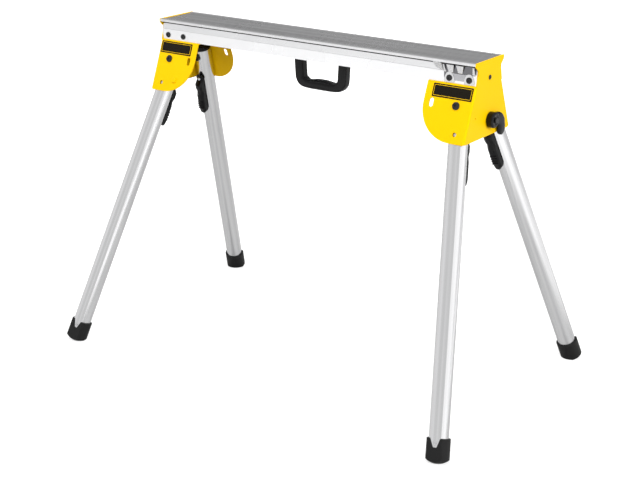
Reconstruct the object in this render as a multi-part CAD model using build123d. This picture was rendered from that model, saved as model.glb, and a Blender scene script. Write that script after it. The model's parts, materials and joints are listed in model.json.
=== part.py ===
"""Folding stand for a miter saw.

An extruded beam carries two folded sheet housings. Four tube legs hinge in the
housings and are held by sprung lock pins, each worked by a rocker lever. The
origin is on the floor under the middle of the beam, with X along the beam, the
front side at negative Y and Z up. Lengths are in millimetres.
"""
from build123d import *
import math
import os

# Overall sizes
overall_height = 813.0
overall_length = 914.0

# Beam
top_width = 124.5
beam_height = 52.0
top_skin = 4.0
lip_depth = 7.0
lip_wall = 3.0
lip_reach = 8.25
band_step = 1.5
wall_thickness = 2.0
upper_band_height = 26.0
web_height = 19.0
web_thickness = 3.0
rib_y = 20.0
rib_thickness = 2.5
port_radius = 7.0
port_bore = 2.6
port_neck = 4.0
port_clearance = 0.4
port_drop = 40.0
groove_width = 2.2
groove_depth = 0.8
groove_front_margin = 14.25
groove_rear_margin = 22.25
groove_count = 9

# Housing
sheet = 2.5
housing_tilt = 21.5
plate_shoulder = 3.0
bolt_inset = 39.7
bolt_drop = 44.0
plate_radius = 83.0
plate_corner_radius = 6.0
end_neck_inset = 2.5
end_neck_top = 19.0
end_neck_bottom = 27.0
end_shoulder = 9.0
bend_radius = 4.0
flange_height = 16.0
flange_clearance = 0.2
relief_width = 6.0
oval_width = 10.4
oval_height = 20.0
detent_depth = 4.0
detent_wall = 1.3
detent_rim = 2.4
detent_round = 1.6
tie_hole_radius = 2.2
tie_hole_reach = 0.6
tie_hole_drop = 70.0

# Housing screws
screw_inset_outer = 20.4
screw_inset_inner = 70.2
screw_rise = 11.4
screw_radius = 3.0
screw_head_radius = 7.0
screw_head_height = 3.0
screw_socket_radius = 2.6
screw_socket_depth = 1.6
nut_radius = 5.5
nut_height = 4.0
end_screw_radius = 2.5
end_screw_head_radius = 5.5
end_screw_head_height = 2.2
end_screw_length = 22.0

# Label plates, left bare
label_length = 100.0
label_height = 30.0
label_thickness = 0.8
label_rise = 28.6
label_inset = 55.4
label_corner = 2.0

# Legs
leg_splay = 10.0
tube_radius = 22.0
tube_flat = 16.5
tube_wall = 2.5
leg_gap = 2.5
running_gap = 0.3
slip_fit = 0.05
pivot_fit = 0.08
tube_top = 24.0
tube_end_lift = 18.0

# Hinges
pivot_bolt_radius = 5.0
pivot_head_radius = 9.0
pivot_head_height = 4.0
pivot_bush_radius = 8.0
pivot_nut_radius = 8.0
pivot_nut_height = 6.5
washer_radius = 12.0
washer_gap = 0.15
fold_gap = 3.5
stud_offset = 12.0
stud_radius = 4.5
stud_bush_radius = 6.0
stud_washer_radius = 9.0
stud_nut_radius = 7.5
stud_nut_height = 6.5
strap_thickness = 4.0
strap_radius = 11.0
strap_gap = 1.0
strap_bolt_radius = 4.0
sleeve_radius = 5.6
thread_overrun = 1.5

# Leg caps
knuckle_skin = 1.5
knuckle_low = 20.0
knuckle_radius = 34.0
plug_depth = 15.5
plug_rise = 4.0
plug_gap = 0.9

# Rubber boots
boot_skin = 4.5
boot_flat_skin = 2.2
boot_height = 52.0
boot_dome_radius = 40.0
boot_dome_lift = 36.0
boot_notch_width = 26.0
boot_notch_base = 10.0
boot_notch_depth = 20.0
boot_screw_drop = 11.0
boot_screw_head_radius = 4.0
boot_screw_head_height = 1.8
boot_screw_radius = 2.0
boot_screw_length = 9.0

# Lock pins
lock_distance = 63.0
lock_radius = 4.5
lock_tail_radius = 2.5
lock_fit = 0.1
lock_hole_fit = 0.3
lock_collar_radius = 7.5
lock_collar_height = 3.0
lock_collar_z = 4.0
lock_button_radius = 4.8
lock_button_height = 2.0
lock_button_gap = 0.7
lock_chamfer = 1.0
spring_wire = 0.65
spring_radius = 6.0
spring_turns = 7
spring_seat_gap = 0.3

# Levers
lever_arm = 42.0
lever_tail = 65.5
lever_travel = 5.2
lever_head_radius = 12.5
lever_head_hole = 3.4
lever_head_seat = 6.4
lever_head_sink = 1.5
lever_half = 11.0
lever_crown_half = 5.0
lever_bevel = 4.3
lever_head_depth = 31.5
lever_hump_depth = 41.0
lever_step_depth = 37.0
lever_grip_depth = 40.2
lever_end_depth = 37.0
lever_neck_share = 0.16
lever_hump_share = 0.245
lever_hump_end_share = 0.354
lever_step_share = 0.446
lever_grip_share = 0.546
lever_grip_end_share = 0.846
lever_axis_depth = 30.0
lever_pin_radius = 1.8
lever_ear_half = 4.0
lever_ear_radius = 4.0
lever_ear_length = 20.0
lever_saddle = 2.3
lever_saddle_half = 9.0
lever_peg_radius = 2.4
lever_peg_offset = 6.0
lever_side_gap = 0.4
lever_end_gap = 1.6
lever_ridge_radius = 2.0
lever_ridge_height = 0.9
lever_ridge_half = 4.6
lever_ridge_margin = 4.5
lever_ridge_count = 4

# Carry handle
handle_x = 5.5
handle_outer = 151.0
handle_inner = 109.0
handle_drop = 77.0
handle_grip = 22.0
handle_depth = 21.5
handle_outer_round = 28.0
handle_inner_round = 9.0
handle_edge = 7.0
handle_belly = 3.0
handle_bottom_share = 0.92
handle_inner_share = 0.95
handle_foot_length = 20.0
handle_foot_height = 8.0
handle_foot_half = 18.0
handle_screw_y = 12.5
handle_screw_radius = 3.0
handle_screw_head_radius = 5.5
handle_screw_head_height = 3.5
handle_screw_length = 14.0

# Pressed brackets on the beam wall
bracket_sheet = 1.5
bracket_lobe_radius = 13.0
bracket_inset_inner = 86.0
bracket_inset_outer = 7.0
bracket_rise = 13.0
bracket_rib = 3.0
bracket_rib_depth = 6.5
bracket_rib_height = 24.0
bracket_rib_shares = (0.02, 0.42, 0.62, 0.98)
bracket_window_rise = 13.0
bracket_window_drop = 3.5
bracket_window_margin = 2.5
bracket_tab_length = 24.0
bracket_tab_height = 15.0
bracket_tab_gap = 0.2

# Swivel hooks on the end plates
hook_y = 8.0
hook_drop = 85.0
hook_hub_radius = 18.0
hook_hub_height = 16.0
hook_arm_thickness = 11.0
hook_arm_half = 15.0
hook_elbow_y = 50.0
hook_elbow_drop = 3.0
hook_tip_y = 52.0
hook_tip_drop = 29.0
hook_gap = 0.3
hook_bore = 4.0
hook_bolt_head_radius = 6.5
hook_bolt_head_height = 3.0
hook_nut_height = 5.0
hook_edge = 2.0

# Shared
cut_overrun = 5.0
cut_reach = 400.0

# Places worked out from the sizes above
beam_bottom = overall_height - beam_height
web_bottom = beam_bottom + web_height
port_z = overall_height - port_drop
lower_wall_y = top_width / 2 - lip_reach
upper_wall_y = lower_wall_y - band_step
wall_inner_y = upper_wall_y - wall_thickness
groove_first_y = groove_front_margin - top_width / 2
groove_last_y = top_width / 2 - groove_rear_margin
plate_top_y = lower_wall_y + plate_shoulder
end_neck_y = lower_wall_y - end_neck_inset
tie_hole_y = plate_top_y + tie_hole_reach
end_outer_x = overall_length / 2
end_inner_x = end_outer_x - sheet
bolt_x = end_outer_x - bolt_inset
screw_x_outer = end_outer_x - screw_inset_outer
screw_x_inner = end_outer_x - screw_inset_inner
screw_z = beam_bottom + screw_rise
label_center_x = end_outer_x - label_inset
bracket_left = end_outer_x - bracket_inset_inner
bracket_right = end_outer_x - bracket_inset_outer
bracket_low = beam_bottom + bracket_rise
hook_z = beam_bottom - hook_drop
tie_hole_z = beam_bottom - tie_hole_drop
tilt = math.radians(housing_tilt)
splay = math.radians(leg_splay)
plate_inner = tube_flat + leg_gap
plate_outer = plate_inner + sheet
bolt_y = plate_top_y + bolt_drop * math.tan(tilt)
foot_z = beam_bottom - bolt_drop - plate_radius * math.cos(tilt)
foot_y = bolt_y + plate_radius * math.sin(tilt)
hinge_y = bolt_y - plate_outer * math.cos(tilt)
hinge_z = beam_bottom - bolt_drop - plate_outer * math.sin(tilt)
leg_length = hinge_z / (math.cos(tilt) * math.cos(splay))
fold_angle = 90.0 + leg_splay
boot_radius = tube_radius + boot_skin
boot_flat = tube_flat + boot_flat_skin
fold_spacing = tube_radius + boot_radius + fold_gap
stud_drop = fold_spacing - stud_offset
stud_along = (stud_drop - stud_offset * math.sin(splay)) / math.cos(splay)
stud_inboard = stud_offset * math.cos(splay) - stud_along * math.sin(splay)
plug_round = math.hypot(stud_inboard, stud_drop) - sleeve_radius - plug_gap
strap_top = -tube_radius - strap_gap
strap_bottom = strap_top - strap_thickness
lever_axis_drop = lock_distance + lever_arm
lever_top_drop = lock_distance - lever_head_radius
lever_length = lever_axis_drop + lever_tail - lever_top_drop
lever_seat_depth = lever_head_depth - lever_head_sink
lever_roof_depth = lever_axis_depth + lever_ear_radius + lever_side_gap


def corner_plane(hand):
    """Plane of a front hinge, its origin on the leg axis and Z pointing out of the housing."""
    return Plane(
        origin=(hand * bolt_x, -hinge_y, hinge_z),
        x_dir=(1, 0, 0),
        z_dir=(0, -math.cos(tilt), math.sin(tilt)),
    )


def leg_place(hand):
    """Place of a front leg: X across it, Y up along it, Z out of its flat face."""
    return corner_plane(hand).location * Rot(0, 0, hand * leg_splay)


def turned(shape):
    """The shape turned half round the upright axis, for the rear or the other end."""
    return shape.rotate(Axis.Z, 180)


def section_plane(height):
    """Plane square to a leg at a height along it, for sections drawn across and outwards."""
    return Plane(origin=(0, height, 0), x_dir=(1, 0, 0), z_dir=(0, -1, 0))


def flatted(radius, flat):
    """Round section with one flat side."""
    return Circle(radius) & Pos(0, flat - radius) * Rectangle(2 * radius, 2 * radius)


def leg_bar(radius, flat, top, length):
    """Bar of the leg's section from a height along the leg downwards."""
    return extrude(section_plane(top) * flatted(radius, flat), length)


def rod(radius, x, y, low, high):
    """Round rod along local Z between two heights."""
    return Pos(x, y, (low + high) / 2) * Cylinder(radius, high - low)


def hexagon(radius, x, y, low, high):
    """Hexagonal nut blank along local Z between two heights."""
    return Pos(x, y, low) * extrude(RegularPolygon(radius, 6), high - low)


def slab(x_low, x_high, y_low, y_high, z_low, z_high):
    """Box between limits."""
    center = ((x_low + x_high) / 2, (y_low + y_high) / 2, (z_low + z_high) / 2)
    return Pos(*center) * Box(x_high - x_low, y_high - y_low, z_high - z_low)


def profile_x(points, x_low, x_high):
    """Solid drawn as a closed outline of (y, z) points and run along X."""
    outline = make_face(Polyline(*[(0, y, z) for y, z in points], close=True))
    return Pos(x_low, 0, 0) * extrude(outline, x_high - x_low, dir=(1, 0, 0))


def beam():
    """Extruded beam: ribbed top with lips, two banded walls, a web, ribs and a screw port."""
    top = overall_height
    half = top_width / 2
    band = beam_bottom + upper_band_height
    outer = [
        (-half, top),
        (half, top),
        (half, top - lip_depth),
        (half - lip_wall, top - lip_depth),
        (half - lip_wall, top - top_skin),
        (upper_wall_y, top - top_skin),
        (upper_wall_y, band),
        (lower_wall_y, band),
        (lower_wall_y, beam_bottom),
        (-lower_wall_y, beam_bottom),
        (-lower_wall_y, band),
        (-upper_wall_y, band),
        (-upper_wall_y, top - top_skin),
        (lip_wall - half, top - top_skin),
        (lip_wall - half, top - lip_depth),
        (-half, top - lip_depth),
    ]
    body = profile_x(outer, -end_inner_x, end_inner_x)
    run = end_inner_x + cut_overrun
    web_top = web_bottom + web_thickness
    body -= slab(-run, run, -wall_inner_y, wall_inner_y, beam_bottom - cut_overrun, web_bottom)
    chambers = [
        (-wall_inner_y, -rib_y - rib_thickness / 2),
        (-rib_y + rib_thickness / 2, rib_y - rib_thickness / 2),
        (rib_y + rib_thickness / 2, wall_inner_y),
    ]
    for low, high in chambers:
        body -= slab(-run, run, low, high, web_top, top - top_skin)
    port = Pos(0, 0, port_z) * Rot(0, 90, 0) * Cylinder(port_radius, 2 * end_inner_x)
    body += port + slab(-end_inner_x, end_inner_x, -port_neck, port_neck, port_z, web_top)
    body -= Pos(0, 0, port_z) * Rot(0, 90, 0) * Cylinder(port_bore, 2 * run)
    pitch = (groove_last_y - groove_first_y) / (groove_count - 1)
    for index in range(groove_count):
        low = groove_first_y + index * pitch - groove_width / 2
        body -= slab(-run, run, low, low + groove_width, top - groove_depth, top + cut_overrun)
    for x in (screw_x_inner, screw_x_outer):
        body -= Pos(0, 0, screw_z) * screw_bores(x)
    for x, y in handle_screw_places():
        low = web_bottom - cut_overrun
        body -= rod(handle_screw_radius + slip_fit, x, y, low, web_top + cut_overrun)
    return body


def screw_bores(x):
    """Cross bores for the wall screws at both ends of the beam."""
    bore = Rot(90, 0, 0) * Cylinder(screw_radius + slip_fit, top_width)
    return Pos(x, 0, 0) * bore + Pos(-x, 0, 0) * bore


def handle_screw_places():
    """The four (x, y) places of the handle's screws, two beside the screw port at each foot."""
    reach = (handle_outer + handle_foot_length) / 2
    ends = (handle_x - reach, handle_x + reach)
    return [(along, across) for along in ends for across in (-handle_screw_y, handle_screw_y)]


def end_outline():
    """Outline of the end plate in Y and Z, from the beam's cap down to its lower edge."""
    half = top_width / 2
    top = overall_height
    right = [
        (half, top),
        (half, top - end_shoulder),
        (end_neck_y, top - end_neck_top),
        (end_neck_y, top - end_neck_bottom),
        (plate_top_y, beam_bottom),
        (foot_y, foot_z),
    ]
    return right + [(-y, z) for y, z in reversed(right)]


def plate_outline():
    """D shape of a plate seen in its own plane, outboard at +X and the hinge at the origin."""
    far = bolt_inset
    lower = Pos(far / 2, -plate_radius / 2) * Rectangle(far, plate_radius)
    corner = lower.vertices().sort_by(Axis.X)[-2:].sort_by(Axis.Y)[0]
    lower = fillet(corner, plate_corner_radius)
    upper = Pos((far - plate_radius) / 2, cut_reach / 2) * Rectangle(far + plate_radius, cut_reach)
    return Circle(plate_radius) + lower + upper


def plate_trimmer():
    """Everything outside the D shape, through one plate's thickness and a little more."""
    around = Rectangle(2 * cut_reach, 2 * cut_reach) - plate_outline()
    low = plate_inner - cut_overrun
    return Pos(0, 0, low) * extrude(around, sheet + 2 * cut_overrun)


def lock_point(fold):
    """Outboard and upward place of a plain hinge's lock pin, leg open (0) or folded (1)."""
    angle = splay - fold * math.radians(fold_angle)
    return lock_distance * math.sin(angle), -lock_distance * math.cos(angle)


def plate_holes(offset_hinge):
    """Holes of one plate in its own plane, outboard at +X."""
    low = plate_inner - cut_overrun
    high = plate_outer + cut_overrun
    bolt_radius = strap_bolt_radius if offset_hinge else pivot_bolt_radius
    holes = rod(bolt_radius + slip_fit, 0, 0, low, high)
    holes += rod(lock_radius + lock_hole_fit, *lock_point(0), low, high)
    oval = Rot(0, 0, 90) * SlotOverall(oval_height, oval_width)
    holes += Pos(*lock_point(1), low) * extrude(oval, high - low)
    if offset_hinge:
        holes += detent(lock_radius + lock_hole_fit, low, plate_inner + detent_depth)
    return holes


def detent(radius, low, high):
    """Rod where the lock pin of a folded offset leg meets its plate."""
    return rod(radius, stud_along - lock_distance - stud_inboard, -fold_spacing, low, high)


def detent_boss():
    """Round boss pressed outwards in an offset hinge's plate, over the detent."""
    high = plate_inner + detent_depth + detent_wall
    boss = detent(lock_radius + lock_hole_fit + detent_rim, plate_inner, high)
    return fillet(boss.edges().group_by(Axis.Z)[-1], detent_round)


def housing_shell():
    """Bent sheet of the right housing before its holes: end plate, two plates and flanges."""
    skin_y = sheet / math.cos(tilt)
    left = bolt_x - plate_radius
    right = end_outer_x
    outer = [
        (-plate_top_y, beam_bottom),
        (plate_top_y, beam_bottom),
        (foot_y, foot_z),
        (-foot_y, foot_z),
    ]
    trough = profile_x(outer, left, right)
    bends = [
        edge
        for edge in trough.edges().filter_by_position(Axis.X, right - slip_fit, right + slip_fit)
        if abs(edge.center().Y) > plate_top_y
    ]
    trough = fillet(bends, bend_radius)
    drop = beam_bottom - sheet
    below = foot_z - cut_overrun
    top_y = plate_top_y + sheet * math.tan(tilt) - skin_y
    low_y = foot_y + cut_overrun * math.tan(tilt) - skin_y
    inner = [(-top_y, drop), (top_y, drop), (low_y, below), (-low_y, below)]
    trough -= profile_x(inner, left - cut_overrun, end_inner_x)
    flange_outer = wall_inner_y - flange_clearance
    flange_inner = flange_outer - sheet
    reach = beam_bottom + cut_overrun
    trough -= slab(left - cut_overrun, end_inner_x, -flange_inner, flange_inner, drop - slip_fit, reach)
    for side in (-1, 1):
        low, high = sorted((side * flange_inner, side * flange_outer))
        trough += slab(left, end_inner_x - relief_width, low, high, drop, beam_bottom + flange_height)
    end_plate = profile_x(end_outline(), end_inner_x, right)
    keeper = slab(0, overall_length, -top_width, top_width, drop, overall_height + cut_overrun)
    return trough + (end_plate & keeper)


def housing():
    """Right housing; its front plate has a plain hinge and its rear plate an offset one."""
    shell = housing_shell()
    shell -= in_hinge(1, plate_trimmer() + plate_holes(False))
    shell -= turned(in_hinge(-1, plate_trimmer()))
    shell += turned(in_hinge(-1, detent_boss()))
    shell -= turned(in_hinge(-1, plate_holes(True)))
    for x in (screw_x_inner, screw_x_outer):
        shell -= Pos(0, 0, screw_z) * screw_bores(x)
    shell -= end_bore(end_screw_radius + slip_fit, 0, port_z)
    shell -= end_bore(hook_bore + slip_fit, hook_y, hook_z)
    shell -= end_bore(tie_hole_radius, -tie_hole_y, tie_hole_z)
    return shell


def end_bore(radius, y, z):
    """Bore through the right end plate."""
    depth = sheet + 2 * cut_overrun
    return Pos(end_inner_x + sheet / 2, y, z) * Rot(0, 90, 0) * Cylinder(radius, depth)


def both_ends(shape):
    """A shape of the right end and its copy at the left end, as separate solids."""
    return Compound(children=[*shape.solids(), *turned(shape).solids()])


def wall_screw(x, side, seat):
    """Button head screw through one beam wall, its head's seat at a distance from the middle."""
    length = seat - wall_inner_y + flange_clearance + sheet + nut_height + thread_overrun
    head = rod(screw_head_radius, 0, 0, 0, screw_head_height)
    head = fillet(head.edges().group_by(Axis.Z)[-1], screw_head_height / 2)
    shank = rod(screw_radius, 0, 0, -length, 0)
    top = screw_head_height - screw_socket_depth
    socket = hexagon(screw_socket_radius, 0, 0, top, screw_head_height + cut_overrun)
    place = Plane(origin=(x, side * seat, screw_z), x_dir=(1, 0, 0), z_dir=(0, side, 0))
    return place.location * (head + shank - socket)


def housing_screws():
    """Eight screws that hold the housings' flanges inside the beam's walls."""
    screws = []
    for x in (screw_x_inner, screw_x_outer):
        front = wall_screw(x, -1, lower_wall_y + bracket_sheet)
        rear = wall_screw(x, 1, lower_wall_y)
        for screw in (front, rear):
            screws += [screw, turned(screw)]
    return Compound(children=screws)


def housing_nuts():
    """Eight nuts welded inside the housings' flanges."""
    face = wall_inner_y - flange_clearance - sheet
    nuts = []
    for x in (screw_x_inner, screw_x_outer):
        for side in (-1, 1):
            place = Plane(origin=(x, side * face, screw_z), x_dir=(1, 0, 0), z_dir=(0, -side, 0))
            nut = hexagon(nut_radius, 0, 0, 0, nut_height)
            nut -= rod(screw_radius, 0, 0, -cut_overrun, nut_height + cut_overrun)
            nut = place.location * nut
            nuts += [nut, turned(nut)]
    return Compound(children=nuts)


def end_screws():
    """One screw through each end plate into the beam's screw port."""
    head = rod(end_screw_head_radius, 0, 0, 0, end_screw_head_height)
    head = fillet(head.edges().group_by(Axis.Z)[-1], end_screw_head_height / 2)
    shank = rod(end_screw_radius, 0, 0, -end_screw_length, 0)
    place = Plane(origin=(end_outer_x, 0, port_z), x_dir=(0, 1, 0), z_dir=(1, 0, 0))
    return both_ends(place.location * (head + shank))


def label_plates():
    """Four bare plates, one on each housing plate between the beam and the hinge bolt."""
    face = extrude(RectangleRounded(label_length, label_height, label_corner), label_thickness)
    plates = []
    for hand in (1, -1):
        offset = hand * (label_center_x - bolt_x)
        plate = corner_plane(hand).location * Pos(offset, label_rise, plate_outer) * face
        plates += [plate, turned(plate)]
    return Compound(children=plates)


def in_hinge(hand, shape):
    """Place a shape drawn in a hinge's plane, with outboard at +X, at a front corner."""
    if hand < 0:
        shape = shape.mirror(Plane.YZ)
    return corner_plane(hand).location * shape


def bolt(radius, low, head_radius, head_height):
    """Hinge bolt along local Z, its head seated on the plate's outer face."""
    high = plate_outer + head_height
    head = rod(head_radius, 0, 0, plate_outer, high)
    head = fillet(head.edges().group_by(Axis.Z)[-1], head_height / 2)
    return head + rod(radius, 0, 0, low, plate_outer)


def pivot_nut_top():
    """Height of the plain hinge's nut seat, just clear of the leg's bush."""
    return -tube_radius - running_gap


def hinge_bolts():
    """Two plain pivot bolts and two strap bolts, with equal heads."""
    plain_low = pivot_nut_top() - pivot_nut_height - thread_overrun
    plain = in_hinge(1, bolt(pivot_bolt_radius, plain_low, pivot_head_radius, pivot_head_height))
    strap_low = strap_bottom - stud_nut_height - thread_overrun
    strap = in_hinge(-1, bolt(strap_bolt_radius, strap_low, pivot_head_radius, pivot_head_height))
    return Compound(children=[plain, turned(plain), strap, turned(strap)])


def bored(shape, radius, x, y):
    """A shape with a bore along local Z right through it."""
    return shape - rod(radius, x, y, -cut_reach, cut_reach)


def hinge_nuts():
    """Nuts on the pivot bolts, the strap bolts and the studs."""
    top = pivot_nut_top()
    plain = hexagon(pivot_nut_radius, 0, 0, top - pivot_nut_height, top)
    plain = bored(plain, pivot_bolt_radius, 0, 0)
    low = strap_bottom - stud_nut_height
    strap = bored(hexagon(stud_nut_radius, 0, 0, low, strap_bottom), strap_bolt_radius, 0, 0)
    x, y = -stud_inboard, -stud_drop
    stud = bored(hexagon(stud_nut_radius, x, y, low, strap_bottom), stud_radius, x, y)
    nuts = [in_hinge(1, plain), in_hinge(-1, strap), in_hinge(-1, stud)]
    return Compound(children=[*nuts, *[turned(nut) for nut in nuts]])


def hinge_washers():
    """Thin washers between the housing plates and the legs."""
    low = tube_flat + washer_gap
    plain = bored(rod(washer_radius, 0, 0, low, plate_inner), pivot_bolt_radius, 0, 0)
    x, y = -stud_inboard, -stud_drop
    offset = bored(rod(stud_washer_radius, x, y, low, plate_inner), stud_radius, x, y)
    washers = [in_hinge(1, plain), in_hinge(-1, offset)]
    return Compound(children=[*washers, *[turned(washer) for washer in washers]])


def hinge_studs():
    """Studs welded inside the plates, on which the offset legs turn."""
    low = strap_bottom - stud_nut_height - thread_overrun
    stud = in_hinge(-1, rod(stud_radius, -stud_inboard, -stud_drop, low, plate_inner))
    return Compound(children=[stud, turned(stud)])


def hinge_straps():
    """Straps that hold the studs' inner ends, each with its spacer sleeve."""
    ends = Circle(strap_radius) + Pos(-stud_inboard, -stud_drop) * Circle(strap_radius)
    strap = Pos(0, 0, strap_bottom) * extrude(make_hull(ends.edges()), strap_thickness)
    strap += rod(sleeve_radius, 0, 0, strap_top, plate_inner)
    strap = bored(strap, strap_bolt_radius, 0, 0)
    strap = in_hinge(-1, bored(strap, stud_radius, -stud_inboard, -stud_drop))
    return Compound(children=[strap, turned(strap)])


def lock_bore(radius):
    """Bore for the lock pin through a leg's parts."""
    return rod(radius, 0, -lock_distance, -cut_reach, cut_reach)


def stud_place(hand):
    """Place of the offset hinge across and along a leg."""
    return -hand * stud_offset, -stud_along


def leg_tube(offset):
    """Tube of one leg with its hinge, lock and screw holes; offset is 0 on a plain hinge."""
    top = plug_rise - stud_along if offset else tube_top
    length = top + leg_length - tube_end_lift
    bore = tube_radius - tube_wall
    tube = leg_bar(tube_radius, tube_flat, top, length)
    tube -= leg_bar(bore, tube_flat - tube_wall, top + cut_overrun, length + 2 * cut_overrun)
    if offset:
        tube = bored(tube, stud_bush_radius, *stud_place(offset))
    else:
        tube = bored(tube, pivot_bush_radius, 0, 0)
    tube -= lock_bore(lock_radius + lock_fit)
    tube -= boot_screw_bore()
    for y in lever_peg_places():
        tube -= rod(lever_peg_radius, 0, y, -cut_reach, 0)
    return tube


def boot_screw_y():
    """Place of the boot's screw along the leg."""
    return boot_height - boot_screw_drop - leg_length


def boot_screw_bore():
    """Bore for the boot's screw through the flat side of the tube."""
    return rod(boot_screw_radius, 0, boot_screw_y(), 0, boot_flat + cut_overrun)


def cap_plain():
    """Moulded knuckle over the top of a plain leg, rounded about its hinge."""
    length = knuckle_radius - knuckle_low
    cap = leg_bar(tube_radius + knuckle_skin, tube_flat + knuckle_skin, knuckle_radius, length)
    cap &= rod(knuckle_radius, 0, 0, -cut_reach, cut_reach)
    return cap - leg_bar(tube_radius, tube_flat, tube_top, length)


def cap_offset(hand):
    """Solid plug in the top of an offset leg, rounded about its hinge."""
    x, y = stud_place(hand)
    top = y + plug_rise
    nose = leg_bar(tube_radius, tube_flat, y + plug_round, plug_round - plug_rise)
    nose &= rod(plug_round, x, y, -cut_reach, cut_reach)
    depth = plug_depth + slip_fit
    plug = leg_bar(tube_radius - tube_wall, tube_flat - tube_wall, top + slip_fit, depth)
    return bored(nose + plug, stud_bush_radius, x, y)


def bush_plain():
    """Bush through a plain leg's tube."""
    bush = rod(pivot_bush_radius, 0, 0, -tube_radius, tube_flat)
    return bored(bush, pivot_bolt_radius + pivot_fit, 0, 0)


def bush_offset(hand):
    """Bush through an offset leg's plug and tube."""
    x, y = stud_place(hand)
    bush = rod(stud_bush_radius, x, y, -tube_radius, tube_flat)
    return bored(bush, stud_radius + pivot_fit, x, y)


def boot():
    """Rubber boot with a domed foot and a notched upper edge, before it is cut at the floor."""
    top = boot_height - leg_length
    body = leg_bar(boot_radius, boot_flat, top, boot_height + boot_dome_radius)
    center = boot_dome_lift - leg_length
    ball = Pos(0, center, 0) * Sphere(boot_dome_radius)
    upper = slab(-boot_radius, boot_radius, center, top, -boot_radius, boot_radius)
    body &= ball + upper
    body -= leg_bar(tube_radius, tube_flat, top + cut_overrun, boot_height + cut_overrun - tube_end_lift)
    half = boot_notch_width / 2
    base = boot_notch_base / 2
    low = top - boot_notch_depth
    notch = make_face(Polyline((-half, top), (-base, low), (base, low), (half, top), close=True))
    body -= Pos(0, 0, tube_flat - slip_fit) * extrude(notch, boot_flat)
    return body - boot_screw_bore()


def boot_screw():
    """Small screw that holds a boot on the flat side of its tube, in the notch."""
    high = tube_flat + boot_screw_head_height
    low = tube_flat - boot_screw_length
    head = rod(boot_screw_head_radius, 0, boot_screw_y(), tube_flat, high)
    head = fillet(head.edges().group_by(Axis.Z)[-1], boot_screw_head_height / 2)
    return head + rod(boot_screw_radius, 0, boot_screw_y(), low, tube_flat)


def lock_pin():
    """Lock pin with its collar and the button that the lever pulls, tip just inside the plate."""
    tip = plate_inner - running_gap
    neck = -tube_radius - slip_fit
    button_top = -lever_seat_depth - lock_button_gap
    pin = rod(lock_radius, 0, -lock_distance, neck, tip)
    pin = chamfer(pin.edges().group_by(Axis.Z)[-1], lock_chamfer)
    pin += rod(lock_tail_radius, 0, -lock_distance, button_top, neck)
    button = rod(lock_button_radius, 0, -lock_distance, button_top - lock_button_height, button_top)
    button = chamfer(button.edges().group_by(Axis.Z)[0], lock_chamfer)
    collar_top = lock_collar_z + lock_collar_height
    return pin + button + rod(lock_collar_radius, 0, -lock_distance, lock_collar_z, collar_top)


def lock_spring():
    """Coil spring between the lock pin's collar and the tube's inner wall."""
    outer = spring_radius + spring_wire
    bore = tube_radius - tube_wall
    low = spring_wire + spring_seat_gap - math.sqrt(bore**2 - outer**2)
    height = lock_collar_z - spring_wire - spring_seat_gap - low
    path = Pos(0, -lock_distance, low) * Helix(height / spring_turns, height, spring_radius)
    start = Plane(origin=path @ 0, z_dir=path % 0)
    return sweep(start * Circle(spring_wire), path=path)


def lever_plan():
    """Lever seen from the inner side: round head, straight body and rounded tail."""
    head_y = -lock_distance
    tail_y = lever_half - lever_top_drop - lever_length
    body = Pos(0, (head_y + tail_y) / 2) * Rectangle(2 * lever_half, head_y - tail_y)
    return body + Pos(0, head_y) * Circle(lever_head_radius) + Pos(0, tail_y) * Circle(lever_half)


def lever_profile(x, fall):
    """Side outline of the lever at a distance across the leg, its crown lowered by a fall."""
    crown = [
        (0, lever_head_depth),
        (lever_neck_share, lever_head_depth),
        (lever_hump_share, lever_hump_depth),
        (lever_hump_end_share, lever_hump_depth),
        (lever_step_share, lever_step_depth),
        (lever_grip_share, lever_grip_depth),
        (lever_grip_end_share, lever_grip_depth),
        (1, lever_end_depth),
    ]
    points = [(x, -lever_top_drop - share * lever_length, fall - depth) for share, depth in crown]
    points += [(x, -lever_top_drop - lever_length, 0), (x, -lever_top_drop, 0)]
    return make_face(Polyline(*points, close=True))


def lever_ridges():
    """Short rounded ridges across the lever's grip."""
    low = lever_top_drop + lever_grip_share * lever_length + lever_ridge_margin
    high = lever_top_drop + lever_grip_end_share * lever_length - lever_ridge_margin
    depth = lever_grip_depth + lever_ridge_height - lever_ridge_radius
    ridge = Rot(0, 90, 0) * Cylinder(lever_ridge_radius, 2 * lever_ridge_half)
    ridges = Pos(0, -low, -depth) * ridge
    pitch = (high - low) / (lever_ridge_count - 1)
    for index in range(1, lever_ridge_count):
        ridges += Pos(0, -low - index * pitch, -depth) * ridge
    return ridges


def lever():
    """Rocker lever that wraps the tube's inner side, its head behind the lock pin's button."""
    slope = (lever_head_radius - lever_crown_half) / (lever_half - lever_crown_half)
    middle = extrude(lever_profile(-lever_crown_half, 0), 2 * lever_crown_half, dir=(1, 0, 0))
    faces = [lever_profile(lever_crown_half, 0), lever_profile(lever_head_radius, slope * lever_bevel)]
    side = loft(faces, ruled=True)
    body = middle + side + side.mirror(Plane.YZ)
    depth = lever_hump_depth + cut_overrun
    body &= Pos(0, 0, -depth) * extrude(lever_plan(), depth)
    inner = tube_radius + lever_travel
    body -= leg_bar(inner, inner, cut_overrun - lever_top_drop, lever_length + 2 * cut_overrun)
    body += lever_ridges()
    reach = lever_ear_half + lever_side_gap
    pocket = lever_ear_length / 2 + lever_end_gap
    y = -lever_axis_drop
    body -= slab(-reach, reach, y - pocket, y + pocket, -lever_roof_depth, 0)
    body -= rod(lever_head_seat, 0, -lock_distance, -cut_reach, -lever_seat_depth)
    body -= lock_bore(lever_head_hole)
    return body - lever_axle(lever_pin_radius + pivot_fit, lever_head_radius)


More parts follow.
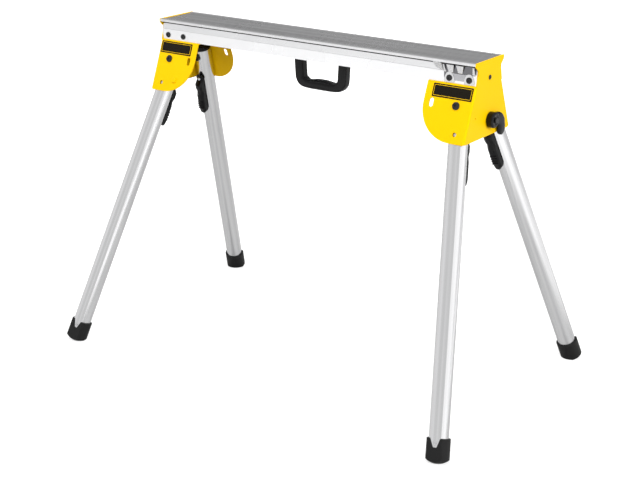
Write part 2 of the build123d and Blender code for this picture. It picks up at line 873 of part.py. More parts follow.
def lever_axle(radius, half_length):
    """Rod across the leg at the lever's axis."""
    rotation = Rot(0, 90, 0) * Cylinder(radius, 2 * half_length)
    return Pos(0, -lever_axis_drop, -lever_axis_depth) * rotation


def lever_peg_places():
    """The two places along the leg of the lever bracket's pegs."""
    return [side * lever_peg_offset - lever_axis_drop for side in (-1, 1)]


def lever_bracket():
    """Moulded bracket under the lever: a saddle, one ear and two pegs into the tube."""
    high = lever_ear_length / 2 - lever_axis_drop
    body = leg_bar(tube_radius + lever_saddle, tube_flat, high, lever_ear_length)
    low = high - lever_ear_length
    body &= slab(-lever_saddle_half, lever_saddle_half, low, high, -cut_reach, 0)
    base = Rectangle(lever_ear_length, 2 * lever_saddle)
    outline = Circle(lever_ear_radius) + Pos(0, tube_radius - lever_axis_depth) * base
    plane = Plane(
        origin=(lever_ear_half, -lever_axis_drop, -lever_axis_depth),
        x_dir=(0, 1, 0),
        z_dir=(-1, 0, 0),
    )
    body += plane.location * extrude(make_hull(outline.edges()), 2 * lever_ear_half)
    body -= leg_bar(tube_radius, tube_flat, high + cut_overrun, lever_ear_length + 2 * cut_overrun)
    for y in lever_peg_places():
        body += rod(lever_peg_radius, 0, y, -tube_radius - lever_saddle, tube_wall - tube_radius)
    return body - lever_axle(lever_pin_radius, lever_head_radius)


def lever_pin():
    """Pin through the bracket's ear and the lever's two sides."""
    return lever_axle(lever_pin_radius, lever_half - running_gap)


def carry_handle():
    """Moulded handle under the beam's web, with a rounded grip and two screw feet."""
    half = handle_outer / 2
    low_half = half * handle_bottom_share
    bottom = beam_bottom - handle_drop
    sides = [
        Line((-half, 0, web_bottom), (half, 0, web_bottom)),
        Line((half, 0, web_bottom), (low_half, 0, bottom)),
        ThreePointArc((low_half, 0, bottom), (0, 0, bottom - handle_belly), (-low_half, 0, bottom)),
        Line((-low_half, 0, bottom), (-half, 0, web_bottom)),
    ]
    outer = extrude(make_face(sides), handle_depth / 2, both=True, dir=(0, 1, 0))
    rounds = [edge for edge in outer.edges().filter_by(Axis.Y) if edge.center().Z < beam_bottom]
    outer = fillet(rounds, handle_outer_round)
    inner_half = handle_inner / 2
    inner_low = inner_half * handle_inner_share
    sill = bottom + handle_grip
    ceiling = web_bottom + cut_overrun
    points = [(-inner_half, ceiling), (inner_half, ceiling), (inner_low, sill), (-inner_low, sill)]
    opening = make_face(Polyline(*[(x, 0, z) for x, z in points], close=True))
    opening = extrude(opening, handle_depth, both=True, dir=(0, 1, 0))
    rounds = [edge for edge in opening.edges().filter_by(Axis.Y) if edge.center().Z < beam_bottom]
    outer -= fillet(rounds, handle_inner_round)
    faces = outer.faces().filter_by(Axis.Y)
    low_edge = web_bottom - slip_fit
    rims = [edge for face in faces for edge in face.edges() if edge.center().Z < low_edge]
    grip = fillet(rims, handle_edge)
    foot_low = web_bottom - handle_foot_height
    for side in (-1, 1):
        inner_x = side * (half - handle_foot_length / 2)
        outer_x = side * (half + handle_foot_length)
        low, high = sorted((inner_x, outer_x))
        grip += slab(low, high, -handle_foot_half, handle_foot_half, foot_low, web_bottom)
    grip = Pos(handle_x, 0, 0) * grip
    for x, y in handle_screw_places():
        grip -= rod(handle_screw_radius, x, y, foot_low - cut_overrun, web_bottom + cut_overrun)
    groove = port_radius + port_clearance
    grip -= Pos(0, 0, port_z) * Rot(0, 90, 0) * Cylinder(groove, 2 * handle_outer)
    return grip - slab(-handle_outer, handle_outer, -groove, groove, port_z, web_bottom + cut_overrun)


def handle_screws():
    """Four screws from below through the handle's feet into the beam's web."""
    seat = web_bottom - handle_foot_height
    screws = []
    for x, y in handle_screw_places():
        head = rod(handle_screw_head_radius, x, y, seat - handle_screw_head_height, seat)
        screws.append(head + rod(handle_screw_radius, x, y, seat, seat + handle_screw_length))
    return Compound(children=screws)


def wall_bracket():
    """Pressed bracket on the front wall at the right end: lobes, ribs, shelf and lip tab."""
    back = -lower_wall_y
    face = back - bracket_sheet
    shelf_top = overall_height - lip_depth
    shelf_low = shelf_top - bracket_sheet
    bracket = slab(bracket_left, bracket_right, face, back, bracket_low, shelf_top)
    for x in (screw_x_inner, screw_x_outer):
        lobe = Rot(90, 0, 0) * Cylinder(bracket_lobe_radius, bracket_sheet)
        lobe = Pos(x, (face + back) / 2, screw_z) * lobe
        bracket += lobe & slab(0, overall_length, face, back, beam_bottom + running_gap, shelf_top)
    rib_low_y = face - bracket_rib_depth
    bracket += slab(bracket_left, bracket_right, rib_low_y, face, shelf_low, shelf_top)
    span = bracket_right - bracket_left - bracket_rib
    ribs = [bracket_left + share * span for share in bracket_rib_shares]
    sill = bracket_low + bracket_window_rise
    head = shelf_low - bracket_window_drop
    for low, high in zip(ribs[:-1], ribs[1:]):
        start = low + bracket_rib + bracket_window_margin
        end = high - bracket_window_margin
        bracket -= slab(start, end, face - slip_fit, back + slip_fit, sill, head)
    for x in ribs:
        points = [(face, shelf_low), (rib_low_y, shelf_low), (face, shelf_low - bracket_rib_height)]
        bracket += profile_x(points, x, x + bracket_rib)
    bracket += bracket_tab(face)
    for x in (screw_x_inner, screw_x_outer):
        bracket -= Pos(0, 0, screw_z) * screw_bores(x)
    return bracket


def bracket_tab(face):
    """Tab of the wall bracket that rises in front of the beam's lip."""
    inner = -top_width / 2 - bracket_tab_gap
    outer = inner - bracket_sheet
    high = overall_height - bracket_sheet
    low = high - bracket_tab_height
    shelf_top = overall_height - lip_depth
    tab = slab(bracket_left - bracket_tab_length, bracket_left + bracket_rib, outer, inner, low, high)
    return tab + slab(bracket_left, bracket_left + bracket_rib, outer, face, low, shelf_top)


def end_hook():
    """Moulded swivel hook on the right end plate: a thick hub and a bent arm."""
    base = end_outer_x + hook_gap
    elbow = (hook_elbow_y, hook_z - hook_elbow_drop)
    tip = (hook_tip_y, hook_z - hook_tip_drop)
    arms = []
    for start, end in (((hook_y, hook_z), elbow), (elbow, tip)):
        ends = Pos(*start) * Circle(hook_arm_half) + Pos(*end) * Circle(hook_arm_half)
        arms.append(make_hull(ends.edges()))
    plane = Plane(origin=(base, 0, 0), x_dir=(0, 1, 0), z_dir=(1, 0, 0))
    arm = extrude(arms[0] + arms[1], hook_arm_thickness)
    hub = Pos(hook_y, hook_z, 0) * extrude(Circle(hook_hub_radius), hook_hub_height)
    hook = arm + hub
    hook = fillet(hook.edges().group_by(Axis.Z)[-1], hook_edge)
    hook -= rod(hook_bore + pivot_fit, hook_y, hook_z, -cut_overrun, hook_hub_height + cut_overrun)
    return plane.location * hook


def hook_bolts():
    """Bolts of the swivel hooks with their nuts inside the end plates."""
    seat = end_outer_x + hook_gap + hook_hub_height + running_gap
    low = end_inner_x - hook_nut_height
    place = Plane(origin=(0, hook_y, hook_z), x_dir=(0, 1, 0), z_dir=(1, 0, 0)).location
    head = rod(hook_bolt_head_radius, 0, 0, seat, seat + hook_bolt_head_height)
    head = fillet(head.edges().group_by(Axis.Z)[-1], hook_bolt_head_height / 2)
    screw = head + rod(hook_bore, 0, 0, low - thread_overrun, seat)
    nut = bored(hexagon(hook_bolt_head_radius, 0, 0, low, end_inner_x), hook_bore, 0, 0)
    return both_ends(Compound(children=[place * screw, place * nut]))


def floored(shape):
    """The shape without what lies below the floor."""
    reach = overall_height
    return shape - slab(-reach, reach, -reach, reach, -reach, 0)


def leg_parts(hand):
    """Sub-parts of one front leg in place; the left one hangs on an offset hinge."""
    offset = hand if hand < 0 else 0
    pieces = {
        "leg": leg_tube(offset),
        "leg_cap": cap_offset(hand) if offset else cap_plain(),
        "leg_bush": bush_offset(hand) if offset else bush_plain(),
        "leg_boot": boot(),
        "boot_screw": boot_screw(),
        "lock_pin": lock_pin(),
        "lock_spring": lock_spring(),
        "lock_lever": lever(),
        "lever_bracket": lever_bracket(),
        "lever_pin": lever_pin(),
    }
    placed = {name: leg_place(hand) * shape for name, shape in pieces.items()}
    placed["leg_boot"] = floored(placed["leg_boot"])
    return placed


def all_parts():
    """Every named sub-part of the stand."""
    right_housing = housing()
    front_bracket = wall_bracket()
    right_hook = end_hook()
    parts = {
        "beam": beam(),
        "housing_right": right_housing,
        "housing_left": turned(right_housing),
        "housing_screws": housing_screws(),
        "housing_nuts": housing_nuts(),
        "end_screws": end_screws(),
        "label_plates": label_plates(),
        "hinge_bolts": hinge_bolts(),
        "hinge_nuts": hinge_nuts(),
        "hinge_washers": hinge_washers(),
        "hinge_studs": hinge_studs(),
        "hinge_straps": hinge_straps(),
        "carry_handle": carry_handle(),
        "handle_screws": handle_screws(),
        "wall_bracket_front": front_bracket,
        "wall_bracket_rear": turned(front_bracket),
        "end_hook_right": right_hook,
        "end_hook_left": turned(right_hook),
        "hook_bolts": hook_bolts(),
    }
    for hand, side, opposite in ((1, "right", "left"), (-1, "left", "right")):
        for name, shape in leg_parts(hand).items():
            parts[f"{name}_front_{side}"] = shape
            parts[f"{name}_rear_{opposite}"] = turned(shape)
    return parts


os.makedirs("parts", exist_ok=True)
for node, solid in all_parts().items():
    export_step(solid, f"parts/{node}.step")
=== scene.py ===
"""Looks of a folding stand for a miter saw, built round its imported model.

Pieces are drawn in millimetres in the frame of what carries them, and become metres
when they are placed. Each sub-assembly is a class that holds its sizes, builds its
meshes and dresses them. What repeats is made by geometry node trees.
"""

import json
import logging
import math
from dataclasses import dataclass, field
from enum import Enum
from typing import Iterable, Sequence

import bmesh
import bpy
from bpy.types import ID, Material, Mesh, Node, NodeSocket, NodeTree, Object
from mathutils import Matrix, Vector

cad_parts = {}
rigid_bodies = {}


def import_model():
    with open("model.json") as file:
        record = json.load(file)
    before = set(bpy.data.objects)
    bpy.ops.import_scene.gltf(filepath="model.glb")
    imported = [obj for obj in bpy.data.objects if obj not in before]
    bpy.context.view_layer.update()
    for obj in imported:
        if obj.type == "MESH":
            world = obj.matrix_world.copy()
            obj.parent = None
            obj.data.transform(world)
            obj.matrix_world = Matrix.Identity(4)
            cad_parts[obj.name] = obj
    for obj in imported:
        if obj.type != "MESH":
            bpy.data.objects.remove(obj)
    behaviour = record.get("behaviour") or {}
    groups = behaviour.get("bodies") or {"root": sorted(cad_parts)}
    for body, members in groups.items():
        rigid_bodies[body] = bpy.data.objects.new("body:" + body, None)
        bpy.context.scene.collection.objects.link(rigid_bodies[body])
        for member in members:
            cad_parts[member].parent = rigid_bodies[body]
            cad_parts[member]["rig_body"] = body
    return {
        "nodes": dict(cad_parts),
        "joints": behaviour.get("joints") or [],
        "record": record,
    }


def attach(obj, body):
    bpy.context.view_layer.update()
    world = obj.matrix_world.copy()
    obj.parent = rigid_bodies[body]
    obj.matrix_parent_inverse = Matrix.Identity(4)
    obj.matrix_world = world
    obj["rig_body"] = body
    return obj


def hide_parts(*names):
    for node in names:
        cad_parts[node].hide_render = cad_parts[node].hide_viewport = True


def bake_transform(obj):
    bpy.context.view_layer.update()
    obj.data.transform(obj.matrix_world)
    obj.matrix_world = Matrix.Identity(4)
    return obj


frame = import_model()

LOG = logging.getLogger("stand")
MM = 0.001
IN_FRAME = Matrix.Scale(MM, 4)
CORNERS = ("front_right", "rear_left", "front_left", "rear_right")
BOTH_SIDES = (-1, 1)
OWN_SPACE = "piece_space"
LEVER_AXIS_DROP = 105.0
LEVER_AXIS_DEPTH = 30.0
EDGE_ANGLE = 38.0
FLAT_ANGLE = 0.5
EDGE_SEGMENTS = 2
BLOCK_STEPS = 4
BLOCK_CHAMFER = 0.3
COIL_POINTS = 24
WIRE_POINTS = 10
FEW_OCTAVES, SOME_OCTAVES, MANY_OCTAVES = 2.0, 3.0, 4.0
TINY = 1e-6
WHITE = (1, 1, 1, 1)
EVEN = (1, 1, 1)
BODY_OF = {node: item["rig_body"] for node, item in frame["nodes"].items()}
SLOT_OF = {row["node"]: row["material_slot"] for row in frame["record"]["subparts"]}
JOINTS = {joint["name"]: joint for joint in frame["joints"]}

Triple = tuple[float, float, float]
Pair = tuple[float, float]


class Coordinates(Enum):
    """Where a finish reads the place of its grain."""

    OBJECT = "object"
    PIECE = "piece"


class Wiring:
    """A node tree under construction."""

    def __init__(self, tree: NodeTree) -> None:
        """Take up a tree and empty it."""
        self.tree = tree
        self.tree.nodes.clear()

    def add(self, kind: str, inputs: dict | None = None, **settings: object) -> Node:
        """Add a node.

        Args:
            kind: the node's type name.
            inputs: a value or a linked output for each input, by its name or number.
            settings: properties of the node.

        Returns:
            The new node.
        """
        node = self.tree.nodes.new(kind)
        for name, value in settings.items():
            setattr(node, name, value)
        self.feed(node, inputs or {})
        return node

    def feed(self, node: Node, inputs: dict) -> None:
        """Set a node's inputs.

        Args:
            node: the node.
            inputs: a value or a linked output for each input, by its name or number.
        """
        for name, value in inputs.items():
            if isinstance(value, NodeSocket):
                self.tree.links.new(value, node.inputs[name])
            else:
                node.inputs[name].default_value = value

    def combined(self, operation: str, first: NodeSocket, second: NodeSocket | float) -> NodeSocket:
        """Combine two values by a named operation."""
        return self.add("ShaderNodeMath", {0: first, 1: second}, operation=operation).outputs["Value"]

    def product(self, first: NodeSocket, second: NodeSocket) -> NodeSocket:
        """Multiply two values."""
        return self.combined("MULTIPLY", first, second)

    def larger(self, first: NodeSocket, second: NodeSocket) -> NodeSocket:
        """Take the larger of two values."""
        return self.combined("MAXIMUM", first, second)

    def total(self, first: NodeSocket, second: NodeSocket | float) -> NodeSocket:
        """Add two values."""
        return self.combined("ADD", first, second)

    def along(self, place: NodeSocket, aim: Sequence[float]) -> NodeSocket:
        """How far a place or a direction reaches along an aim."""
        return self.add("ShaderNodeVectorMath", {0: place, 1: aim}, operation="DOT_PRODUCT").outputs["Value"]

    def ramp(self, value: NodeSocket, place: Pair, result: Pair, shape: str = "LINEAR") -> NodeSocket:
        """Map a value from one range to another, clamped at both ends.

        Args:
            value: what is mapped.
            place: its lowest and highest value.
            result: what these two become.
            shape: how it runs between them.

        Returns:
            The mapped value.
        """
        ends = dict(zip(("From Min", "From Max", "To Min", "To Max"), (*place, *result)))
        node = self.add("ShaderNodeMapRange", {"Value": value, **ends}, interpolation_type=shape)
        return node.outputs["Result"]


class Graph(Wiring):
    """A material's node tree under construction, with its main shader."""

    pattern_range: Pair = (0.3, 0.7)
    level_range: Pair = (0.9, 0.995)

    def __init__(self, name: str) -> None:
        """Start an empty material with one principled shader.

        Args:
            name: its name.
        """
        self.material = bpy.data.materials.new(name)
        self.material.use_nodes = True
        super().__init__(self.material.node_tree)
        self.shader = self.add("ShaderNodeBsdfPrincipled")
        self.output = self.add("ShaderNodeOutputMaterial", {"Surface": self.shader.outputs["BSDF"]})

    def place(self, scale: Triple = EVEN, source: Coordinates = Coordinates.OBJECT) -> NodeSocket:
        """Add scaled coordinates.

        Args:
            scale: stretch along each axis.
            source: the object's coordinates or the piece's own.

        Returns:
            The vector output.
        """
        if source is Coordinates.OBJECT:
            read = self.add("ShaderNodeTexCoord").outputs["Object"]
        else:
            read = self.add("ShaderNodeAttribute", attribute_name=OWN_SPACE).outputs["Vector"]
        return self.add("ShaderNodeMapping", {"Vector": read, "Scale": scale}).outputs["Vector"]

    def noise(self, scale: float, detail: float, run: Triple = EVEN,
              source: Coordinates = Coordinates.OBJECT) -> NodeSocket:
        """Add a noise pattern.

        Args:
            scale: its fineness, in waves for each metre before any stretch.
            detail: how many finer octaves it has.
            run: stretch along each axis.
            source: where it reads its place.

        Returns:
            The pattern's strength.
        """
        inputs = {"Vector": self.place(run, source), "Scale": scale, "Detail": detail}
        return self.add("ShaderNodeTexNoise", inputs).outputs["Fac"]

    def spread(self, pattern: NodeSocket, low: float, high: float) -> NodeSocket:
        """Map a pattern's usual range to a range of values."""
        return self.ramp(pattern, self.pattern_range, (low, high))

    def tint(self, pattern: NodeSocket, dark: Sequence[float], light: Sequence[float]) -> None:
        """Colour the shader between two colours by a pattern.

        Args:
            pattern: the pattern, from 0 to 1.
            dark: colour at 0.
            light: colour at 1.
        """
        mix = self.add("ShaderNodeMix", {"Factor": pattern}, data_type="RGBA")
        for socket in mix.inputs:
            if socket.type == "RGBA":
                socket.default_value = (*(dark if socket.name == "A" else light), 1)
        result = next(socket for socket in mix.outputs if socket.type == "RGBA")
        self.feed(self.shader, {"Base Color": result})

    def roughen(self, pattern: NodeSocket, middle: float, reach: float) -> None:
        """Let the roughness wander round a middle value by a pattern."""
        self.feed(self.shader, {"Roughness": self.spread(pattern, middle - reach, middle + reach)})

    def facing_up(self) -> NodeSocket:
        """How far the surface faces upwards, 0 on upright walls and 1 on a level top.

        Returns:
            The share, in every place.
        """
        normal = self.add("ShaderNodeNewGeometry").outputs["Normal"]
        split = self.add("ShaderNodeSeparateXYZ", {"Vector": normal})
        return self.ramp(split.outputs["Z"], self.level_range, (0, 1))

    def relief(self, pattern: NodeSocket, strength: float, depth: float) -> None:
        """Roughen the surface by a pattern.

        Args:
            pattern: the pattern's height.
            strength: share of the bump that shows.
            depth: height of the bump in metres.
        """
        bump = self.add("ShaderNodeBump", {"Strength": strength, "Distance": depth, "Height": pattern})
        self.feed(self.shader, {"Normal": bump.outputs["Normal"]})


def dimmed(colour: Sequence[float], share: float) -> tuple[float, ...]:
    """A colour multiplied by a share."""
    return tuple(channel * share for channel in colour)


@dataclass(frozen=True)
class Finish:
    """What every finish has: its name, its colour and how rough it is."""

    name: str
    colour: Triple
    roughness: float

    def build(self) -> Material:
        """Build the material.

        Returns:
            The material.
        """
        graph = Graph(self.name)
        self.dress(graph)
        return graph.material

    def dress(self, graph: Graph) -> None:
        """Give the material its colour, gloss and relief."""
        raise NotImplementedError


@dataclass(frozen=True)
class DrawnAluminium(Finish):
    """Drawn aluminium tube with fine lines along its length, and broad darker bands of painted reflection."""

    line_run: Triple = (1400, 4, 1400)
    line_depth: float = 0.00001
    reflection_band_run: Triple = (95, 0.6, 95)
    reflection_band_share: float = 0.24
    cloud_scale: float = 14.0
    uneven: float = 0.15
    relief_share: float = 0.2

    def dress(self, graph: Graph) -> None:
        """Lay fine lines, and broad bands of painted reflection, along the tube.

        Args:
            graph: the material under construction.
        """
        lines = graph.noise(1.0, SOME_OCTAVES, self.line_run, Coordinates.PIECE)
        # Painted reflection: broad darker bands along the tube stand in for the streaks a polished tube
        # mirrors.
        reflection_bands = graph.noise(1.0, FEW_OCTAVES, self.reflection_band_run, Coordinates.PIECE)
        mixed = graph.larger(graph.product(lines, reflection_bands), graph.spread(reflection_bands, 0.0, 1.0))
        graph.tint(mixed, dimmed(self.colour, 1 - self.reflection_band_share), self.colour)
        graph.feed(graph.shader, {"Metallic": 1.0})
        clouds = graph.noise(self.cloud_scale, FEW_OCTAVES)
        graph.roughen(clouds, self.roughness, self.roughness * self.uneven)
        graph.relief(lines, self.relief_share, self.line_depth)


@dataclass(frozen=True)
class RibbedExtrusion(Finish):
    """Extruded aluminium: plain walls, and a top painted darker as shade, with streaks along its ribs."""

    # Colour of the painted shade on the top and the upper bands, and of the top's streaks.
    shade_and_streak_colour: Triple = (0.42, 0.42, 0.43)
    streak_run: Triple = (1.2, 60, 60)
    streak_depth: float = 0.00002
    least_top_shade: float = 0.3
    lip_start: float = 0.0505
    lip_blur: float = 0.0005
    # Painted shade: the walls above this height, under the lips, are darkened by band_shade.
    band_height: float = 0.787
    band_blur: float = 0.002
    band_shade: float = 0.3
    cloud_scale: float = 9.0
    uneven: float = 0.1
    relief_share: float = 0.2

    def dress(self, graph: Graph) -> None:
        """Darken the top between its lips with painted shade and streaks, and paint shade on the walls' upper
        bands.

        Args:
            graph: the material under construction.
        """
        lines = graph.noise(1.0, MANY_OCTAVES, self.streak_run)
        # Painted shade: the level top is darkened towards the shade colour by at least a set share, and more
        # along the streaks.
        top_shade_and_streaks = graph.product(graph.spread(lines, self.least_top_shade, 1.0), graph.facing_up())
        split = graph.add("ShaderNodeSeparateXYZ", {"Vector": graph.place()}).outputs
        out = graph.add("ShaderNodeMath", {0: split["Y"]}, operation="ABSOLUTE").outputs["Value"]
        edges = (self.lip_start - self.lip_blur, self.lip_start + self.lip_blur)
        step = (self.band_height - self.band_blur, self.band_height + self.band_blur)
        inside = graph.product(top_shade_and_streaks, graph.ramp(out, edges, (1, 0)))
        # Painted shade on the walls' upper bands, under the lips.
        shade = graph.larger(inside, graph.ramp(split["Z"], step, (0, self.band_shade)))
        graph.tint(shade, self.colour, self.shade_and_streak_colour)
        graph.feed(graph.shader, {"Metallic": 1.0})
        clouds = graph.noise(self.cloud_scale, FEW_OCTAVES)
        graph.roughen(clouds, self.roughness, self.roughness * self.uneven)
        graph.relief(lines, self.relief_share, self.streak_depth)


@dataclass(frozen=True)
class PowderCoat(Finish):
    """Sprayed and baked paint on sheet steel, with a faint orange peel."""

    specular: float = 0.1
    peel_scale: float = 900.0
    peel_depth: float = 0.00003
    cloud_scale: float = 9.0
    dark_share: float = 0.97
    uneven: float = 0.04
    relief_share: float = 0.2

    def dress(self, graph: Graph) -> None:
        """Cloud the colour slightly and lay the peel.

        Args:
            graph: the material under construction.
        """
        peel = graph.noise(self.peel_scale, FEW_OCTAVES)
        clouds = graph.noise(self.cloud_scale, FEW_OCTAVES)
        graph.tint(clouds, dimmed(self.colour, self.dark_share), self.colour)
        graph.roughen(peel, self.roughness, self.uneven)
        graph.feed(graph.shader, {"Specular IOR Level": self.specular})
        graph.relief(peel, self.relief_share, self.peel_depth)


@dataclass(frozen=True)
class Moulding(Finish):
    """Moulded plastic or rubber with a fine spark-eroded grain."""

    grain_scale: float
    grain_depth: float = 0.00003
    specular: float = 0.2
    cloud_scale: float = 30.0
    cloud_share: float = 0.2
    uneven: float = 0.05
    relief_share: float = 0.3

    def dress(self, graph: Graph) -> None:
        """Cloud the colour and lay the grain.

        Args:
            graph: the material under construction.
        """
        grain = graph.noise(self.grain_scale, SOME_OCTAVES)
        dark, light = (dimmed(self.colour, 1 + side * self.cloud_share) for side in BOTH_SIDES)
        graph.tint(graph.noise(self.cloud_scale, FEW_OCTAVES), dark, light)
        graph.roughen(grain, self.roughness, self.uneven)
        graph.feed(graph.shader, {"Specular IOR Level": self.specular})
        graph.relief(grain, self.relief_share, self.grain_depth)


@dataclass(frozen=True)
class PlatedSteel(Finish):
    """Turned or pressed steel with a plated or blackened skin."""

    metallic: float = 1.0
    skin_scale: float = 400.0
    skin_depth: float = 0.00002
    dark_share: float = 0.8
    uneven: float = 0.2
    relief_share: float = 0.15

    def dress(self, graph: Graph) -> None:
        """Cloud the colour, the gloss and the skin by one pattern.

        Args:
            graph: the material under construction.
        """
        skin = graph.noise(self.skin_scale, MANY_OCTAVES)
        graph.tint(skin, dimmed(self.colour, self.dark_share), self.colour)
        graph.feed(graph.shader, {"Metallic": self.metallic})
        graph.roughen(skin, self.roughness, self.roughness * self.uneven)
        graph.relief(skin, self.relief_share, self.skin_depth)


ALUMINIUM = (0.90, 0.90, 0.91)
DEEP_BLACK = (0.003, 0.003, 0.0035)
FINISHES = (
    RibbedExtrusion("extruded_aluminium", ALUMINIUM, 0.28),
    DrawnAluminium("tube_aluminium", ALUMINIUM, 0.20),
    PowderCoat("yellow_paint", (0.88, 0.53, 0.0), 0.45),
    PlatedSteel("black_steel", (0.014, 0.014, 0.015), 0.34, metallic=0.2),
    PlatedSteel("zinc_steel", (0.74, 0.74, 0.75), 0.30),
    # Darker copy of the steel, used only as painted shade behind the wall brackets.
    PlatedSteel("shaded_steel", (0.20, 0.20, 0.21), 0.35),
    PlatedSteel("spring_steel", (0.5, 0.5, 0.52), 0.3),
    Moulding("black_plastic", DEEP_BLACK, 0.24, 1600.0),
    Moulding("lever_plastic", DEEP_BLACK, 0.24, 1600.0),
    Moulding("nylon", (0.06, 0.06, 0.06), 0.5, 1200.0),
    Moulding("plate_black", (0.008, 0.006, 0.003), 0.3, 700.0, grain_depth=0.00001, specular=0.12),
    Moulding("black_rubber", (0.010, 0.010, 0.010), 0.5, 1100.0, grain_depth=0.00005),
)


def joint_vector(corner: str, motion: str, what: str = "axis") -> Vector:
    """Axis or place of a corner's joint, by what the joint does."""
    return Vector(JOINTS[f"{corner}_{motion}"][what])


def space_at(origin: Vector, across: Vector, along: Vector, outward: Vector) -> Matrix:
    """A matrix from millimetres along three directions from an origin to the frame."""
    rotation = Matrix((across, along, outward)).transposed().to_4x4()
    return Matrix.Translation(origin) @ rotation @ IN_FRAME


def leg_space(corner: str) -> Matrix:
    """Place of one leg's own space.

    Args:
        corner: the leg's corner.

    Returns:
        A matrix from millimetres across, up along and out of the leg's flat face to the frame.
    """
    across, outward = joint_vector(corner, "lever_rock"), joint_vector(corner, "pin_slide")
    along = outward.cross(across)
    pivot = joint_vector(corner, "lever_rock", "pos_m")
    origin = pivot + (along * LEVER_AXIS_DROP + outward * LEVER_AXIS_DEPTH) * MM
    return space_at(origin, across, along, outward)


def hinge_space(corner: str) -> Matrix:
    """Place of one hinge plate's space.

    Args:
        corner: the plate's corner.

    Returns:
        A matrix from millimetres along the beam, up the plate and out of it to the frame.
    """
    outward = joint_vector(corner, "pin_slide")
    across = Vector((1 if corner.startswith("front") else -1, 0, 0))
    return space_at(leg_space(corner).translation, across, outward.cross(across), outward)


def end_turn(side: str) -> Matrix:
    """Half turn about the upright axis for what is at the left end."""
    return Matrix.Rotation(math.pi if side == "left" else 0.0, 4, "Z")


def linked(name: str, data: ID) -> Object:
    """Make a linked object of a mesh, a lamp or a camera.

    Args:
        name: its name.
        data: what the object shows.

    Returns:
        The linked object.
    """
    item = bpy.data.objects.new(name, data)
    bpy.context.scene.collection.objects.link(item)
    return item


def piece_from(name: str, mesh: Mesh, crease: float = 35.0) -> Object:
    """Make a shown object of a mesh, smooth up to a crease angle.

    Args:
        name: the piece's name.
        mesh: its finished mesh.
        crease: edges sharper than this many degrees stay sharp.

    Returns:
        The linked object.
    """
    mesh.shade_smooth()
    mesh.set_sharp_from_angle(angle=math.radians(crease))
    return linked(name, mesh)


def fit(piece: Object, material: Material, body: str) -> None:
    """Let a piece ride on a body and wear a finish.

    Args:
        piece: the finished piece.
        material: its material, given to it if it has none.
        body: the body that carries it.
    """
    if not piece.data.materials:
        piece.data.materials.append(material)
    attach(piece, body)
    LOG.info("%s rides on %s", piece.name, body)


def settle(piece: Object, material: Material, node: str) -> None:
    """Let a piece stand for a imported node, ride with it and wear a finish."""
    fit(piece, material, BODY_OF[node])
    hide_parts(node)


def keep_places(mesh: Mesh, places: Iterable[Vector]) -> None:
    """Keep each vertex's place in its piece's own space, for grain that runs along the piece.

    Args:
        mesh: the mesh.
        places: each vertex's place in millimetres.
    """
    own = mesh.attributes.new(OWN_SPACE, "FLOAT_VECTOR", "POINT")
    for item, place in zip(own.data, places):
        item.vector = place * MM


def mesh_of(points: Iterable[Vector], faces: Iterable[Sequence[int]], place: Matrix, name: str) -> Mesh:
    """Make a mesh of points drawn in millimetres, facing outwards.

    Args:
        points: the vertices in the place's space.
        faces: vertex numbers of each face.
        place: matrix from the drawing's space to the frame.
        name: the mesh's name.

    Returns:
        The mesh, with its drawn place kept as an attribute for grain along it.
    """
    drawn = [Vector(point) for point in points]
    mesh = bpy.data.meshes.new(name)
    mesh.from_pydata([place @ point for point in drawn], [], [list(face) for face in faces])
    keep_places(mesh, drawn)
    work = bmesh.new()
    work.from_mesh(mesh)
    bmesh.ops.recalc_face_normals(work, faces=work.faces)
    work.to_mesh(mesh)
    work.free()
    return mesh


def lofted(rings: Sequence[Sequence[Vector]], place: Matrix, name: str, closed: bool = False) -> Mesh:
    """Skin equal rings of points with quads.

    Args:
        rings: the sections in millimetres, each with as many points.
        place: matrix from the drawing's space to the frame.
        name: the mesh's name.
        closed: whether the last ring joins the first, instead of both being capped.

    Returns:
        The mesh.
    """
    count = len(rings[0])
    points = [point for ring in rings for point in ring]
    faces = []
    for ring in range(len(rings) if closed else len(rings) - 1):
        here, there = ring * count, ((ring + 1) % len(rings)) * count
        for index in range(count):
            after = (index + 1) % count
            faces.append([here + index, here + after, there + after, there + index])
    if not closed:
        faces.append(list(range(count)))
        faces.append([len(points) - count + index for index in range(count)])
    return mesh_of(points, faces, place, name)


def joined(name: str, meshes: Sequence[Mesh]) -> Mesh:
    """Join meshes into one.

    Args:
        name: the new mesh's name.
        meshes: what it holds.

    Returns:
        The joined mesh, without a material.
    """
    work = bmesh.new()
    for mesh in meshes:
        work.from_mesh(mesh)
    whole = bpy.data.meshes.new(name)
    work.to_mesh(whole)
    work.free()
    return whole


def angles_of(count: int) -> list[float]:
    """Equal angles round a circle."""
    return [2 * math.pi * index / count for index in range(count)]


def squircle(half_width: float, half_depth: float, power: float, count: int) -> list[Pair]:
    """Points of a rounded section between an ellipse and a rectangle.

    Args:
        half_width: its reach along the first axis.
        half_depth: its reach along the second axis.
        power: 2 for an ellipse, more for squarer corners.
        count: how many points.

    Returns:
        The points in order round the section.
    """
    points = []
    for index in range(count):
        angle = 2 * math.pi * (index + 0.5) / count
        c, s = math.cos(angle), math.sin(angle)
        x = half_width * math.copysign(abs(c) ** (2 / power), c)
        y = half_depth * math.copysign(abs(s) ** (2 / power), s)
        points.append((x, y))
    return points


def round_curve(start: Vector, knee: Vector, end: Vector, steps: int) -> list[Vector]:
    """Points of a parabola that rounds a knee between two points."""
    shares = [step / steps for step in range(steps + 1)]
    return [start * (1 - share) ** 2 + knee * 2 * share * (1 - share) + end * share**2 for share in shares]


